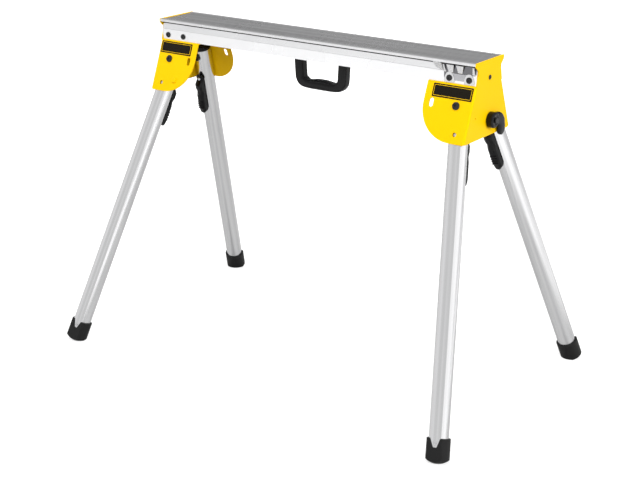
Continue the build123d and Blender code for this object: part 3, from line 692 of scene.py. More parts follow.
def rounded_outline(points: Sequence[Pair], radius: float, steps: int) -> list[Pair]:
    """Round every corner of a closed outline.

    Args:
        points: its corners.
        radius: how far from a corner the round starts at most.
        steps: pieces of each round.

    Returns:
        The rounded outline.
    """
    result = []
    most = 0.45
    for index in range(len(points)):
        before, here, after = (Vector(points[(index + shift) % len(points)]) for shift in (-1, 0, 1))
        reach = min(radius, (before - here).length * most, (after - here).length * most)
        start = here + (before - here).normalized() * reach
        end = here + (after - here).normalized() * reach
        result += [(point.x, point.y) for point in round_curve(start, here, end, steps)]
    return result


def rectangle(x: float, y: float) -> list[Pair]:
    """Corners of a rectangle round the middle, from its half sizes."""
    return [(-x, -y), (x, -y), (x, y), (-x, y)]


def rounded_block(center: Vector, size: Sequence[float], radius: float, name: str) -> Mesh:
    """Draw a block with rounded edges.

    Args:
        center: its middle, in the frame's millimetres.
        size: its three lengths.
        radius: how round its edges are.
        name: the mesh's name.

    Returns:
        The mesh in the frame.
    """
    x, y, z = (length / 2 for length in size)
    outline = rounded_outline(rectangle(x, y), radius, BLOCK_STEPS)
    part = radius * BLOCK_CHAMFER
    low = [(-z, radius), (-z + part, part), (-z + radius, 0)]
    levels = low + [(z - radius, 0), (z - part, part), (z, radius)]
    rings = [
        [center + Vector((px * (1 - inset / x), py * (1 - inset / y), level)) for px, py in outline]
        for level, inset in levels
    ]
    return lofted(rings, IN_FRAME, name)


def eased_value(knots: Sequence[Pair], at: float) -> float:
    """Read a curve that rests at each of its knots.

    Args:
        knots: pairs of place and value, in order of place.
        at: the place to read.

    Returns:
        The value, eased between the two nearest knots.
    """
    if at <= knots[0][0]:
        return knots[0][1]
    for (low, start), (high, end) in zip(knots[:-1], knots[1:]):
        if at <= high:
            share = (at - low) / (high - low)
            share = share * share * (3 - 2 * share)
            return start + (end - start) * share
    return knots[-1][1]


def flowing_value(knots: Sequence[Pair], at: float) -> float:
    """Read a curve that flows through its knots.

    Args:
        knots: pairs of place and value, in order of place.
        at: the place to read.

    Returns:
        A Catmull-Rom value at the place.
    """
    last = len(knots) - 1
    index = max(i for i in range(last) if knots[i][0] <= at or i == 0)
    low, high = knots[index], knots[index + 1]
    before = knots[index - 1] if index else low
    after = knots[index + 2] if index + 2 <= last else high
    share = (at - low[0]) / (high[0] - low[0])
    slope_low = (high[1] - before[1]) / max(high[0] - before[0], TINY) * (high[0] - low[0])
    slope_high = (after[1] - low[1]) / max(after[0] - low[0], TINY) * (high[0] - low[0])
    square, cube = share**2, share**3
    return (
        (2 * cube - 3 * square + 1) * low[1]
        + (cube - 2 * square + share) * slope_low
        + (3 * square - 2 * cube) * high[1]
        + (cube - square) * slope_high
    )


def finished_mesh(piece: Object, name: str) -> Mesh:
    """Turn an object with modifiers into a plain mesh and remove the object.

    Args:
        piece: the object, which is used up.
        name: the mesh's name.

    Returns:
        A new mesh with every modifier applied.
    """
    depsgraph = bpy.context.evaluated_depsgraph_get()
    result = bpy.data.meshes.new_from_object(piece.evaluated_get(depsgraph), depsgraph=depsgraph)
    result.name = name
    bpy.data.objects.remove(piece)
    return result


def evened(name: str, mesh: Mesh, crease: float, edge: float = 0.0) -> Mesh:
    """Break a mesh's sharp edges and let its wide faces shade as flat ones.

    Args:
        name: the new mesh's name.
        mesh: the mesh, which is used up.
        crease: edges sharper than this many degrees stay sharp.
        edge: width of the broken edges in millimetres, 0 for none.

    Returns:
        The new mesh.
    """
    rough = piece_from(name + "_rough", mesh, crease)
    if edge:
        bevel = rough.modifiers.new("edges", "BEVEL")
        bevel.width = edge * MM
        bevel.segments = EDGE_SEGMENTS
        bevel.limit_method = "ANGLE"
        bevel.angle_limit = math.radians(crease)
        bevel.use_clamp_overlap = True
    rough.modifiers.new("shading", "WEIGHTED_NORMAL").keep_sharp = True
    return finished_mesh(rough, name)


def eased_copy(node: str, name: str, edge: float, space: Matrix = IN_FRAME) -> Object:
    """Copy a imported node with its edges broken, as a made part's are.

    Args:
        node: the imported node.
        name: the new piece's name.
        edge: width of the broken edges in millimetres.
        space: the piece's own space, for grain that runs along it.

    Returns:
        The new piece, without a material.
    """
    mesh = frame["nodes"][node].data.copy()
    mesh.materials.clear()
    work = bmesh.new()
    work.from_mesh(mesh)
    bmesh.ops.remove_doubles(work, verts=work.verts, dist=TINY)
    limit = math.radians(FLAT_ANGLE)
    bmesh.ops.dissolve_limit(work, angle_limit=limit, verts=work.verts, edges=work.edges)
    work.to_mesh(mesh)
    work.free()
    result = evened(name, mesh, EDGE_ANGLE, edge)
    inverse = space.inverted()
    keep_places(result, [inverse @ vertex.co for vertex in result.vertices])
    return linked(name, result)


class ShapeTree(Wiring):
    """A geometry node tree with named inputs, ended by realized instances and a material."""

    def __init__(self, name: str, **inputs: str) -> None:
        """Start a tree.

        Args:
            name: the tree's name.
            inputs: kind of each named input after the geometry, such as Float.
        """
        super().__init__(bpy.data.node_groups.new(name, "GeometryNodeTree"))
        interface = self.tree.interface
        self.sockets = {}
        for label, kind in {"Geometry": "Geometry", **inputs, "Finish": "Material"}.items():
            socket = interface.new_socket(name=label, in_out="INPUT", socket_type=f"NodeSocket{kind}")
            self.sockets[label] = socket.identifier
        interface.new_socket(name="Geometry", in_out="OUTPUT", socket_type="NodeSocketGeometry")
        self.given = self.add("NodeGroupInput").outputs

    def finish(self, geometry: NodeSocket) -> "ShapeTree":
        """Realize what was made, give it the finish and send it out.

        Args:
            geometry: what was made.

        Returns:
            The finished tree.
        """
        realized = self.add("GeometryNodeRealizeInstances", {"Geometry": geometry}).outputs["Geometry"]
        dress = self.add("GeometryNodeSetMaterial", {"Geometry": realized, "Material": self.given["Finish"]})
        self.add("NodeGroupOutput", {"Geometry": dress.outputs["Geometry"]})
        return self

    def run(self, base: Mesh, name: str, values: dict[str, object]) -> Mesh:
        """Run the tree on a mesh.

        Args:
            base: the mesh that goes in.
            name: the result's name.
            values: a value for each named input.

        Returns:
            The plain mesh that comes out.
        """
        carrier = linked(name + "_base", base)
        modifier = carrier.modifiers.new("nodes", "NODES")
        modifier.node_group = self.tree
        for label, value in values.items():
            modifier[self.sockets[label]] = value
        return finished_mesh(carrier, name)


def fastener_tree() -> ShapeTree:
    """Tree that sets a fastener on each point, turned to the point's aim.

    Returns:
        The tree.
    """
    made = ShapeTree("fasteners_on_points", Fastener="Object", Size="Float")
    info = made.add("GeometryNodeObjectInfo", {"Object": made.given["Fastener"]}, transform_space="ORIGINAL")
    aim = made.add("GeometryNodeInputNamedAttribute", {"Name": "aim"}, data_type="FLOAT_VECTOR")
    turn = made.add("FunctionNodeAlignRotationToVector", {"Vector": aim.outputs["Attribute"]}, axis="Z")
    placed = made.add("GeometryNodeInstanceOnPoints", {
        "Points": made.given["Geometry"], "Instance": info.outputs["Geometry"],
        "Rotation": turn.outputs["Rotation"], "Scale": made.given["Size"],
    })
    return made.finish(placed.outputs["Instances"])


def coil_tree() -> ShapeTree:
    """Tree that winds a coil spring.

    Returns:
        The tree.
    """
    made = ShapeTree("coil_spring", Turns="Float", Radius="Float", Height="Float", Wire="Float")
    given = made.given
    spiral = made.add("GeometryNodeCurveSpiral", {
        "Resolution": COIL_POINTS, "Rotations": given["Turns"], "Start Radius": given["Radius"],
        "End Radius": given["Radius"], "Height": given["Height"],
    })
    wire = {"Resolution": WIRE_POINTS, "Radius": given["Wire"]}
    section = made.add("GeometryNodeCurvePrimitiveCircle", wire, mode="RADIUS")
    sweep = made.add("GeometryNodeCurveToMesh", {
        "Curve": spiral.outputs["Curve"], "Profile Curve": section.outputs["Curve"], "Fill Caps": True,
    })
    return made.finish(sweep.outputs["Mesh"])


def row_tree() -> ShapeTree:
    """Tree that repeats the mesh it is given along a line.

    Returns:
        The tree.
    """
    made = ShapeTree("row_of_ridges", Count="Int", Start="Vector", Step="Vector")
    line = made.add("GeometryNodeMeshLine", {
        "Count": made.given["Count"], "Start Location": made.given["Start"], "Offset": made.given["Step"],
    }, mode="OFFSET")
    placed = made.add("GeometryNodeInstanceOnPoints", {
        "Points": line.outputs["Mesh"], "Instance": made.given["Geometry"],
    })
    return made.finish(placed.outputs["Instances"])


def run_tree() -> ShapeTree:
    """Tree that runs a flat section along X, as an extrusion die does.

    Returns:
        The tree.
    """
    made = ShapeTree("extrusion_run", Length="Float")
    offset = made.add("ShaderNodeCombineXYZ", {"X": made.given["Length"]}).outputs["Vector"]
    extrude = made.add("GeometryNodeExtrudeMesh", {
        "Individual": False, "Mesh": made.given["Geometry"], "Offset": offset,
    }, mode="FACES")
    flip = made.add("GeometryNodeFlipFaces", {"Mesh": made.given["Geometry"]})
    both = made.add("GeometryNodeJoinGeometry", {"Geometry": extrude.outputs["Mesh"]})
    made.feed(both, {"Geometry": flip.outputs["Mesh"]})
    weld = made.add("GeometryNodeMergeByDistance", {"Distance": TINY, "Geometry": both.outputs["Geometry"]})
    return made.finish(weld.outputs["Geometry"])


@dataclass
class Workshop:
    """What every sub-assembly builds with: the finishes and the node trees."""

    materials: dict[str, Material] = field(
        default_factory=lambda: {finish.name: finish.build() for finish in FINISHES})
    fasteners: ShapeTree = field(default_factory=fastener_tree)
    coils: ShapeTree = field(default_factory=coil_tree)
    rows: ShapeTree = field(default_factory=row_tree)
    runs: ShapeTree = field(default_factory=run_tree)

    def finish_of(self, node: str) -> Material:
        """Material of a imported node's slot."""
        return self.materials[SLOT_OF[node]]

    def set_out(self, name: str, head: Mesh, spots: Sequence[tuple[Vector, Vector]], node: str) -> None:
        """Set one fastener's mesh on several places as one piece.

        Args:
            name: the piece's name.
            head: the fastener, drawn in metres with Z pointing out of its seat.
            spots: place and outward direction of each.
            node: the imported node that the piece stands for.
        """
        pattern = linked(name + "_pattern", head)
        base = bpy.data.meshes.new(name + "_points")
        base.from_pydata([place for place, _ in spots], [], [])
        aims = base.attributes.new("aim", "FLOAT_VECTOR", "POINT")
        for item, (_, aim) in zip(aims.data, spots):
            item.vector = aim
        values = {"Fastener": pattern, "Size": 1.0, "Finish": self.finish_of(node)}
        mesh = self.fasteners.run(base, name, values)
        bpy.data.objects.remove(pattern)
        settle(piece_from(name, mesh), self.finish_of(node), node)


@dataclass(frozen=True)
class DomedHead:
    """A fastener with a domed head, a six-sided socket and a plain shank."""

    radius: float
    height: float
    socket: float
    depth: float
    shank: float
    length: float
    sides: int = 36
    dome_steps: int = 7
    tip: Pair = (0.8, 0.3)
    seat_share: float = 0.96
    rim: Pair = (0.12, 0.35)
    flat_share: float = 1.25
    socket_edge: Pair = (1.2, 0.15)
    axis_radius: float = 0.01
    floor_share: float = 0.05

    def mesh(self) -> Mesh:
        """Draw the fastener.

        Returns:
            The mesh in metres, Z pointing out of the seat.
        """
        rim_low, rim_high = self.rim
        share = self.socket * self.flat_share / self.radius
        profile = [
            (self.axis_radius, -self.length), (self.shank * self.tip[0], -self.length),
            (self.shank, -self.length + self.shank * self.tip[1]), (self.shank, 0),
            (self.radius * self.seat_share, 0), (self.radius, rim_low * self.height),
            (self.radius, rim_high * self.height),
        ]
        for step in range(1, self.dome_steps):
            angle = step / self.dome_steps * math.pi / 2
            out = self.radius * (share + (1 - share) * math.cos(angle))
            profile.append((out, self.height * (rim_high + (1 - rim_high) * math.sin(angle))))
        profile.append((self.socket * self.socket_edge[0], self.height))
        angles = angles_of(self.sides)
        rings = [[Vector((r * math.cos(a), r * math.sin(a), z)) for a in angles] for r, z in profile]
        low = self.height - self.depth
        for level, share in ((self.height - self.socket_edge[1], 1.0), (low, 1.0), (low, self.floor_share)):
            flat = self.socket * share * math.cos(math.pi / 6)
            reaches = [flat / math.cos(angle % (math.pi / 3) - math.pi / 6) for angle in angles]
            rings.append([Vector((r * math.cos(a), r * math.sin(a), level)) for r, a in zip(reaches, angles)])
        return lofted(rings, IN_FRAME, "domed_head")


@dataclass
class Beam:
    """The extruded beam with its ribbed top, and what is screwed to it."""

    length: float = 909.0
    top: float = 813.0
    bottom: float = 761.0
    half_width: float = 62.25
    lip_depth: float = 7.0
    lip_wall: float = 3.0
    skin: float = 4.0
    bead: float = 12.0
    bead_rise: float = 1.2
    bead_fall: float = 1.6
    bead_steps: int = 8
    slot_low: float = 801.2
    slot_back: float = 51.4
    slot_gap: float = 0.2
    strip: float = 0.8
    strip_out: float = 0.45
    strip_short: float = 2.0
    strip_round: float = 0.2
    upper_wall: float = 52.5
    lower_wall: float = 54.0
    band: float = 787.0
    inner_wall: float = 50.5
    web: float = 780.0
    port_height: float = 773.0
    port_radius: float = 7.0
    port_mouth: float = 0.6
    port_start: float = -40.0
    port_step: float = 12.5
    port_points: int = 9
    first_groove: float = -48.0
    last_groove: float = 40.0
    grooves: int = 9
    groove_width: float = 2.6
    groove_depth: float = 1.5
    groove_slope: float = 0.3
    edge: float = 0.12
    edge_steps: int = 2
    crease: float = 20.0
    step_half: float = 0.15
    screw_places: Pair = (386.8, 436.6)
    screw_height: float = 772.4
    bracket_sheet: float = 1.5
    end_seat: float = 457.0
    wall_screw: DomedHead = DomedHead(7.0, 3.0, 2.9, 1.7, 3.0, 12.0)
    end_screw: DomedHead = DomedHead(5.5, 2.2, 2.3, 1.2, 2.5, 22.0)

    def section(self) -> list[Pair]:
        """Draw the section as (y, z) points.

        Returns:
            The outline, clockwise from the top's left edge.
        """
        floor = self.top - self.bead_rise
        low, slope = floor - self.groove_depth, self.groove_slope
        bead = self.bead_points()
        grooves = []
        pitch = (self.last_groove - self.first_groove) / (self.grooves - 1)
        for index in range(self.grooves):
            y = self.first_groove + index * pitch
            left, right = y - self.groove_width / 2, y + self.groove_width / 2
            grooves += [(left, floor), (left + slope, low), (right - slope, low), (right, floor)]
        under, inside = self.top - self.skin, self.half_width - self.lip_wall
        right = [
            (self.half_width, self.top - self.lip_depth),
            (inside, self.top - self.lip_depth),
            (inside, under),
            (self.slot_back, under),
            (self.slot_back, self.slot_low),
            (self.upper_wall, self.slot_low),
            (self.upper_wall, self.band + self.step_half),
            (self.lower_wall, self.band - self.step_half),
            (self.lower_wall, self.bottom),
            (self.inner_wall, self.bottom),
            (self.inner_wall, self.web),
            (self.port_radius * self.port_mouth, self.web),
        ]
        port = []
        for step in range(self.port_points):
            angle = math.radians(self.port_start - step * self.port_step)
            rise = self.port_radius * math.sin(angle)
            port.append((self.port_radius * math.cos(angle), self.port_height + rise))
        return bead + grooves + self.mirrored(bead) + right + port + self.mirrored(right)

    def mirrored(self, points: Sequence[Pair]) -> list[Pair]:
        """The same points on the section's other half, in reversed order."""
        return [(-y, z) for y, z in reversed(points)]

    def bead_points(self) -> list[Pair]:
        """Draw the low rounded bead along the top's left edge, from its outer edge inwards.

        Returns:
            The (y, z) points.
        """
        points = []
        for step in range(self.bead_steps + 1):
            share = step / self.bead_steps
            side = 2 * share - 1
            fall = self.bead_fall if side < 0 else self.bead_rise
            points.append((-self.half_width + self.bead * share, self.top - fall * side**2))
        return points

    def slot_liners(self, shop: Workshop) -> None:
        """Run a thin black strip in the slot under each lip, as painted shadow.

        Args:
            shop: finishes and trees.
        """
        low, high = self.slot_low + self.slot_gap, self.top - self.skin - self.slot_gap
        size = (self.length - self.strip_short, self.strip, high - low)
        out = self.slot_back + self.strip_out
        centers = [Vector((0, side * out, (low + high) / 2)) for side in BOTH_SIDES]
        # Painted shadow: black strips stand in for the shade deep in the slots under the lips.
        shadow_strips = [rounded_block(center, size, self.strip_round, "slot_shadow_strip") for center in centers]
        piece = piece_from("slot_liners", joined("slot_liners", shadow_strips))
        fit(piece, shop.materials["black_plastic"], BODY_OF["beam"])

    def build(self, shop: Workshop) -> None:
        """Build the extrusion, the painted-shadow strips in its slots and its screws.

        Args:
            shop: finishes and trees.
        """
        outline = rounded_outline(self.section(), self.edge, self.edge_steps)
        points = [Vector((-self.length / 2, y, z)) for y, z in outline]
        flat = mesh_of(points, [list(range(len(points)))], IN_FRAME, "beam_section")
        if flat.polygons[0].normal.x < 0:
            flat.flip_normals()
        values = {"Length": self.length * MM, "Finish": shop.finish_of("beam")}
        mesh = evened("beam_extrusion", shop.runs.run(flat, "beam_extrusion", values), self.crease)
        settle(linked("beam_extrusion", mesh), shop.finish_of("beam"), "beam")
        self.slot_liners(shop)
        self.screws(shop)

    def screws(self, shop: Workshop) -> None:
        """Set the wall screws and the end screws.

        Args:
            shop: finishes and trees.
        """
        spots = []
        for x in self.screw_places:
            for side in BOTH_SIDES:
                seat = self.lower_wall + (self.bracket_sheet if side < 0 else 0.0)
                for turn in (1, -1):
                    spot = Vector((turn * x, turn * side * seat, self.screw_height)) * MM
                    spots.append((spot, Vector((0, turn * side, 0))))
        shop.set_out("wall_screw_heads", self.wall_screw.mesh(), spots, "housing_screws")
        ends = [
            (Vector((side * self.end_seat, 0, self.port_height)) * MM, Vector((side, 0, 0)))
            for side in BOTH_SIDES
        ]
        shop.set_out("end_screw_heads", self.end_screw.mesh(), ends, "end_screws")


@dataclass
class Housings:
    """The two folded sheet housings with their label plates and hinge bolts."""

    edge: float = 0.5
    plate_edge: float = 0.2
    plate_height: float = 21.5
    hinge_bolt: DomedHead = DomedHead(9.0, 4.0, 4.2, 2.6, 4.0, 45.0)
    label_inboard: float = 15.7
    label_rise: float = 28.6
    label_face: float = 22.3
    rule_half_length: float = 47.0
    rule_half_height: float = 12.0
    rule_round: float = 2.0
    rule_steps: int = 4
    rule_width: float = 0.9
    rule_height: float = 0.15

    def build(self, shop: Workshop) -> None:
        """Build the housings, the bolt heads and the bare label plates with their lines.

        Args:
            shop: finishes and trees.
        """
        for side in ("right", "left"):
            node = f"housing_{side}"
            settle(eased_copy(node, f"housing_sheet_{side}", self.edge), shop.finish_of(node), node)
        self.bolts(shop)
        plates = eased_copy("label_plates", "bare_label_plates", self.plate_edge)
        settle(plates, shop.finish_of("label_plates"), "label_plates")
        self.rules(shop)

    def bolts(self, shop: Workshop) -> None:
        """Set the four hinge bolts with their domed heads.

        Args:
            shop: finishes and trees.
        """
        spots = []
        for space in (hinge_space(corner) for corner in CORNERS):
            out = (space.to_3x3() @ Vector((0, 0, 1))).normalized()
            spots.append((space @ Vector((0, 0, self.plate_height)), out))
        shop.set_out("hinge_bolt_heads", self.hinge_bolt.mesh(), spots, "hinge_bolts")

    def rules(self, shop: Workshop) -> None:
        """Print a plain line round each bare label plate.

        Args:
            shop: finishes and trees.
        """
        sides = []
        for inset in (0, self.rule_width):
            corners = rectangle(self.rule_half_length - inset, self.rule_half_height - inset)
            sides.append(rounded_outline(corners, self.rule_round - inset, self.rule_steps))
        low, high = self.label_face - self.rule_height, self.label_face + self.rule_height
        lines = []
        for corner in CORNERS:
            inboard = self.label_inboard * (-1 if corner in ("front_right", "rear_left") else 1)
            rings = []
            for outer, inner in zip(*sides):
                edges = ((outer, low), (outer, high), (inner, high), (inner, low))
                rings.append([Vector((inboard + x, self.label_rise + y, z)) for (x, y), z in edges])
            lines.append(lofted(rings, hinge_space(corner), "label_rule", closed=True))
        piece = piece_from("label_rules", joined("label_rules", lines))
        fit(piece, shop.materials["yellow_paint"], BODY_OF["label_plates"])


@dataclass
class Leg:
    """One leg: its tube, cap, boot, lever, lever bracket, lock pin and lock spring."""

    corner: str
    lock: float = 63.0
    spring_low: float = -17.38
    spring_high: float = 3.05
    spring_radius: float = 6.0
    spring_wire: float = 0.65
    spring_turns: float = 7.0
    ridges: int = 4
    ridge_size: Triple = (17.0, 3.4, 3.0)
    ridge_round: float = 1.2
    ridge_start: Triple = (0.0, -152.5, -40.6)
    ridge_step: Triple = (0.0, 6.6, 0.0)
    ridge_crease: float = 50.0
    edges: tuple[tuple[str, float], ...] = (
        ("leg", 0.4), ("leg_cap", 0.8), ("leg_boot", 1.0), ("lever_bracket", 0.6), ("lock_pin", 0.3),
        ("lever_pin", 0.3), ("boot_screw", 0.2), ("lock_lever", 1.0),
    )

    def build(self, shop: Workshop) -> None:
        """Build every piece of the leg.

        Args:
            shop: finishes and trees.
        """
        space = leg_space(self.corner)
        for part, edge in self.edges:
            node = f"{part}_{self.corner}"
            finish = shop.materials["black_steel"] if part == "lever_pin" else shop.finish_of(node)
            settle(eased_copy(node, f"{part}_made_{self.corner}", edge, space), finish, node)
        self.grip(shop, space)
        self.spring(shop, space)

    def grip(self, shop: Workshop, space: Matrix) -> None:
        """Set the finger ridges across the lever's lower end.

        Args:
            shop: finishes and trees.
            space: the leg's space.
        """
        node, name = f"lock_lever_{self.corner}", f"lever_ridges_{self.corner}"
        bar = rounded_block(Vector((0, 0, 0)), self.ridge_size, self.ridge_round, "ridge")
        values = {"Count": self.ridges, "Start": Vector(self.ridge_start) * MM,
                  "Step": Vector(self.ridge_step) * MM, "Finish": shop.finish_of(node)}
        row = shop.rows.run(bar, name, values)
        row.transform(space @ Matrix.Scale(1 / MM, 4))
        piece = piece_from(name, row, self.ridge_crease)
        fit(piece, shop.finish_of(node), BODY_OF[node])

    def spring(self, shop: Workshop, space: Matrix) -> None:
        """Wind the lock spring inside the tube, between the leg and its pin.

        Args:
            shop: finishes and trees.
            space: the leg's space.
        """
        node, name = f"lock_spring_{self.corner}", f"spring_coil_{self.corner}"
        values = {"Turns": self.spring_turns, "Radius": self.spring_radius * MM,
                  "Height": (self.spring_high - self.spring_low) * MM, "Wire": self.spring_wire * MM,
                  "Finish": shop.finish_of(node)}
        coil = shop.coils.run(bpy.data.meshes.new("coil_base"), name, values)
        seat = Matrix.Translation((0, -self.lock, self.spring_low))
        coil.transform(space @ seat @ Matrix.Scale(1 / MM, 4))
        piece = piece_from(name, coil)
        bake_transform(piece)
        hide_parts(node)


@dataclass
class Handle:
    """The carry handle under the beam: a U with a swollen grip, and two feet."""

    middle: float = 5.5
    top: float = 779.6
    arm_half_top: float = 66.3
    arm_half_low: float = 61.6
    arm_lean: float = 0.6
    grip_height: float = 694.5
    corner: float = 19.0
    arm_steps: int = 8
    corner_steps: int = 14
    grip_steps: int = 10
    grip_start: float = 0.6
    grip_full: float = 0.7
    grip_level: float = 1.0
    half_width: float = 12.2
    half_depth: float = 12.2
    swell: float = 1.2
    sag: float = 2.2
    power: float = 4.6
    grip_power: float = 2.4
    section_points: int = 44
    grip_halves: tuple[Pair, ...] = ((0.0, 12.2), (0.2, 10.3), (0.8, 13.2))
    crease: float = 50.0
    foot_middle: float = 80.5
    foot_length: float = 30.0
    foot_half: float = 18.0
    foot_height: float = 8.0
    foot_round: float = 1.5
    port_clearance: float = 7.4

    def path(self) -> list[Vector]:
        """Draw the middle line of the U.

        Returns:
            Points from the top of the left arm round to the top of the right arm.
        """
        low, half = self.grip_height, self.arm_half_low
        top = Vector((-self.arm_half_top, 0, self.top))
        start = Vector((-half - self.arm_lean, 0, low + self.corner))
        end = Vector((-half + self.corner, 0, low))
        points = [top.lerp(start, step / self.arm_steps) for step in range(self.arm_steps)]
        points += round_curve(start, Vector((-half, 0, low)), end, self.corner_steps)
        steps = range(1, self.grip_steps + 1)
        points += [end.lerp(Vector((0, 0, low)), step / self.grip_steps) for step in steps]
        return points + [Vector((-point.x, 0, point.z)) for point in reversed(points[:-1])]

    def rings(self) -> list[list[Vector]]:
        """Draw the handle's sections along its middle line.

        Returns:
            One ring of points for each place on the line.
        """
        path = self.path()
        grip_half = self.arm_half_low - self.corner * self.grip_start
        rings = []
        for index, point in enumerate(path):
            before, after = path[max(index - 1, 0)], path[min(index + 1, len(path) - 1)]
            along = (after - before).normalized()
            across = Vector((along.z, 0, -along.x))
            on_grip = point.z < self.grip_height + self.grip_level
            share = max(0.0, 1 - abs(point.x) / grip_half) if on_grip else 0.0
            grip = eased_value([(0, 0), (self.grip_full, 1)], share)
            half = eased_value(self.grip_halves, share)
            power = self.power + (self.grip_power - self.power) * grip
            section = squircle(half, self.half_depth + self.swell * grip, power, self.section_points)
            shift = Vector((self.middle, 0, 0)) + across * (self.half_width - half + self.sag * grip)
            rings.append([point + shift + across * x + Vector((0, y, 0)) for x, y in section])
        return rings

    def build(self, shop: Workshop) -> None:
        """Build the handle with its feet.

        Args:
            shop: finishes and trees.
        """
        parts = [lofted(self.rings(), IN_FRAME, "handle_bow")]
        width = self.foot_half - self.port_clearance
        size = (self.foot_length, width, self.foot_height)
        for side in BOTH_SIDES:
            for edge in BOTH_SIDES:
                x, y = self.middle + side * self.foot_middle, edge * (self.port_clearance + width / 2)
                center = Vector((x, y, self.top - self.foot_height / 2))
                parts.append(rounded_block(center, size, self.foot_round, "handle_foot"))
        piece = piece_from("carry_handle_made", joined("carry_handle_made", parts), self.crease)
        settle(piece, shop.finish_of("carry_handle"), "carry_handle")


@dataclass
class EndHook:
    """One swivel hook on an end plate: a domed hub and a bent arm."""

    side: str
    seat: float = 457.3
    y: float = 8.0
    z: float = 676.0
    radius: float = 18.0
    height: float = 16.0
    rim: float = 4.0
    rim_steps: int = 6
    chamfer: float = 0.8
    axis_radius: float = 0.1
    bolt_well: float = 9.0
    well_slope: float = 0.9
    well_depths: Pair = (0.6, 0.7)
    hub_points: int = 48
    arm_half: float = 14.6
    arm_thickness: float = 11.0
    arm_stations: int = 48
    slope_reach: float = 1.0
    arm_power: float = 3.0
    arm_points: int = 32
    thin_end: float = 0.55
    least_end: float = 0.0004
    crease: float = 40.0
    arm_line: tuple[Triple, ...] = (
        (0, 8, 676), (16, 24, 675.6), (28, 35.5, 674), (38, 44.5, 669.5), (47, 50, 662), (56, 52, 653),
        (76.5, 52, 632.6),
    )

    def build(self, shop: Workshop) -> None:
        """Build the hook.

        Args:
            shop: finishes and trees.
        """
        node, name = f"end_hook_{self.side}", f"end_hook_made_{self.side}"
        space = end_turn(self.side) @ IN_FRAME
        whole = joined(name, [self.hub(space), self.arm(space)])
        settle(piece_from(name, whole, self.crease), shop.finish_of(node), node)

    def hub(self, space: Matrix) -> Mesh:
        """Draw the hub as a turned shape with a rounded rim and a sunk middle.

        Args:
            space: matrix from millimetres to the frame.

        Returns:
            The mesh.
        """
        radius, height, rim = self.radius, self.height, self.rim
        profile = [
            (self.axis_radius, 0), (radius - self.chamfer, 0), (radius, self.chamfer), (radius, height - rim),
        ]
        for step in range(1, self.rim_steps + 1):
            angle = step / self.rim_steps * math.pi / 2
            profile.append((radius - rim * (1 - math.cos(angle)), height - rim * (1 - math.sin(angle))))
        edge, middle = self.well_depths
        profile += [(self.bolt_well + self.well_slope, height), (self.bolt_well, height - edge),
                    (self.axis_radius, height - middle)]
        rings = []
        for r, up in profile:
            rings.append([
                Vector((self.seat + up, self.y + r * math.cos(angle), self.z + r * math.sin(angle)))
                for angle in angles_of(self.hub_points)
            ])
        return lofted(rings, space, "hook_hub")

    def arm(self, space: Matrix) -> Mesh:
        """Draw the arm from the hub outwards and down.

        Args:
            space: matrix from millimetres to the frame.

        Returns:
            The mesh.
        """
        lines = [[(knot[0], knot[axis]) for knot in self.arm_line] for axis in (1, 2)]
        arm_end = self.arm_line[-1][0]
        half_thick = self.arm_thickness / 2
        rings = []
        for index in range(self.arm_stations + 1):
            at = arm_end * math.sin(index / self.arm_stations * math.pi / 2)
            later, earlier = min(at + self.slope_reach, arm_end), max(at - self.slope_reach, 0)
            dy, dz = (flowing_value(line, later) - flowing_value(line, earlier) for line in lines)
            scale = math.hypot(dy, dz)
            taper = max(0.0, 1 - (arm_end - at) / self.arm_half)
            round_end = math.sqrt(max(1 - taper**2, self.least_end))
            thick = min(1, self.thin_end + (1 - self.thin_end) * round_end)
            section = squircle(self.arm_half * round_end, half_thick * thick, self.arm_power, self.arm_points)
            y, z = (flowing_value(line, at) for line in lines)
            rings.append([
                Vector((self.seat + half_thick + out, y - dz / scale * across, z + dy / scale * across))
                for across, out in section
            ])
        return lofted(rings, space, "hook_arm")


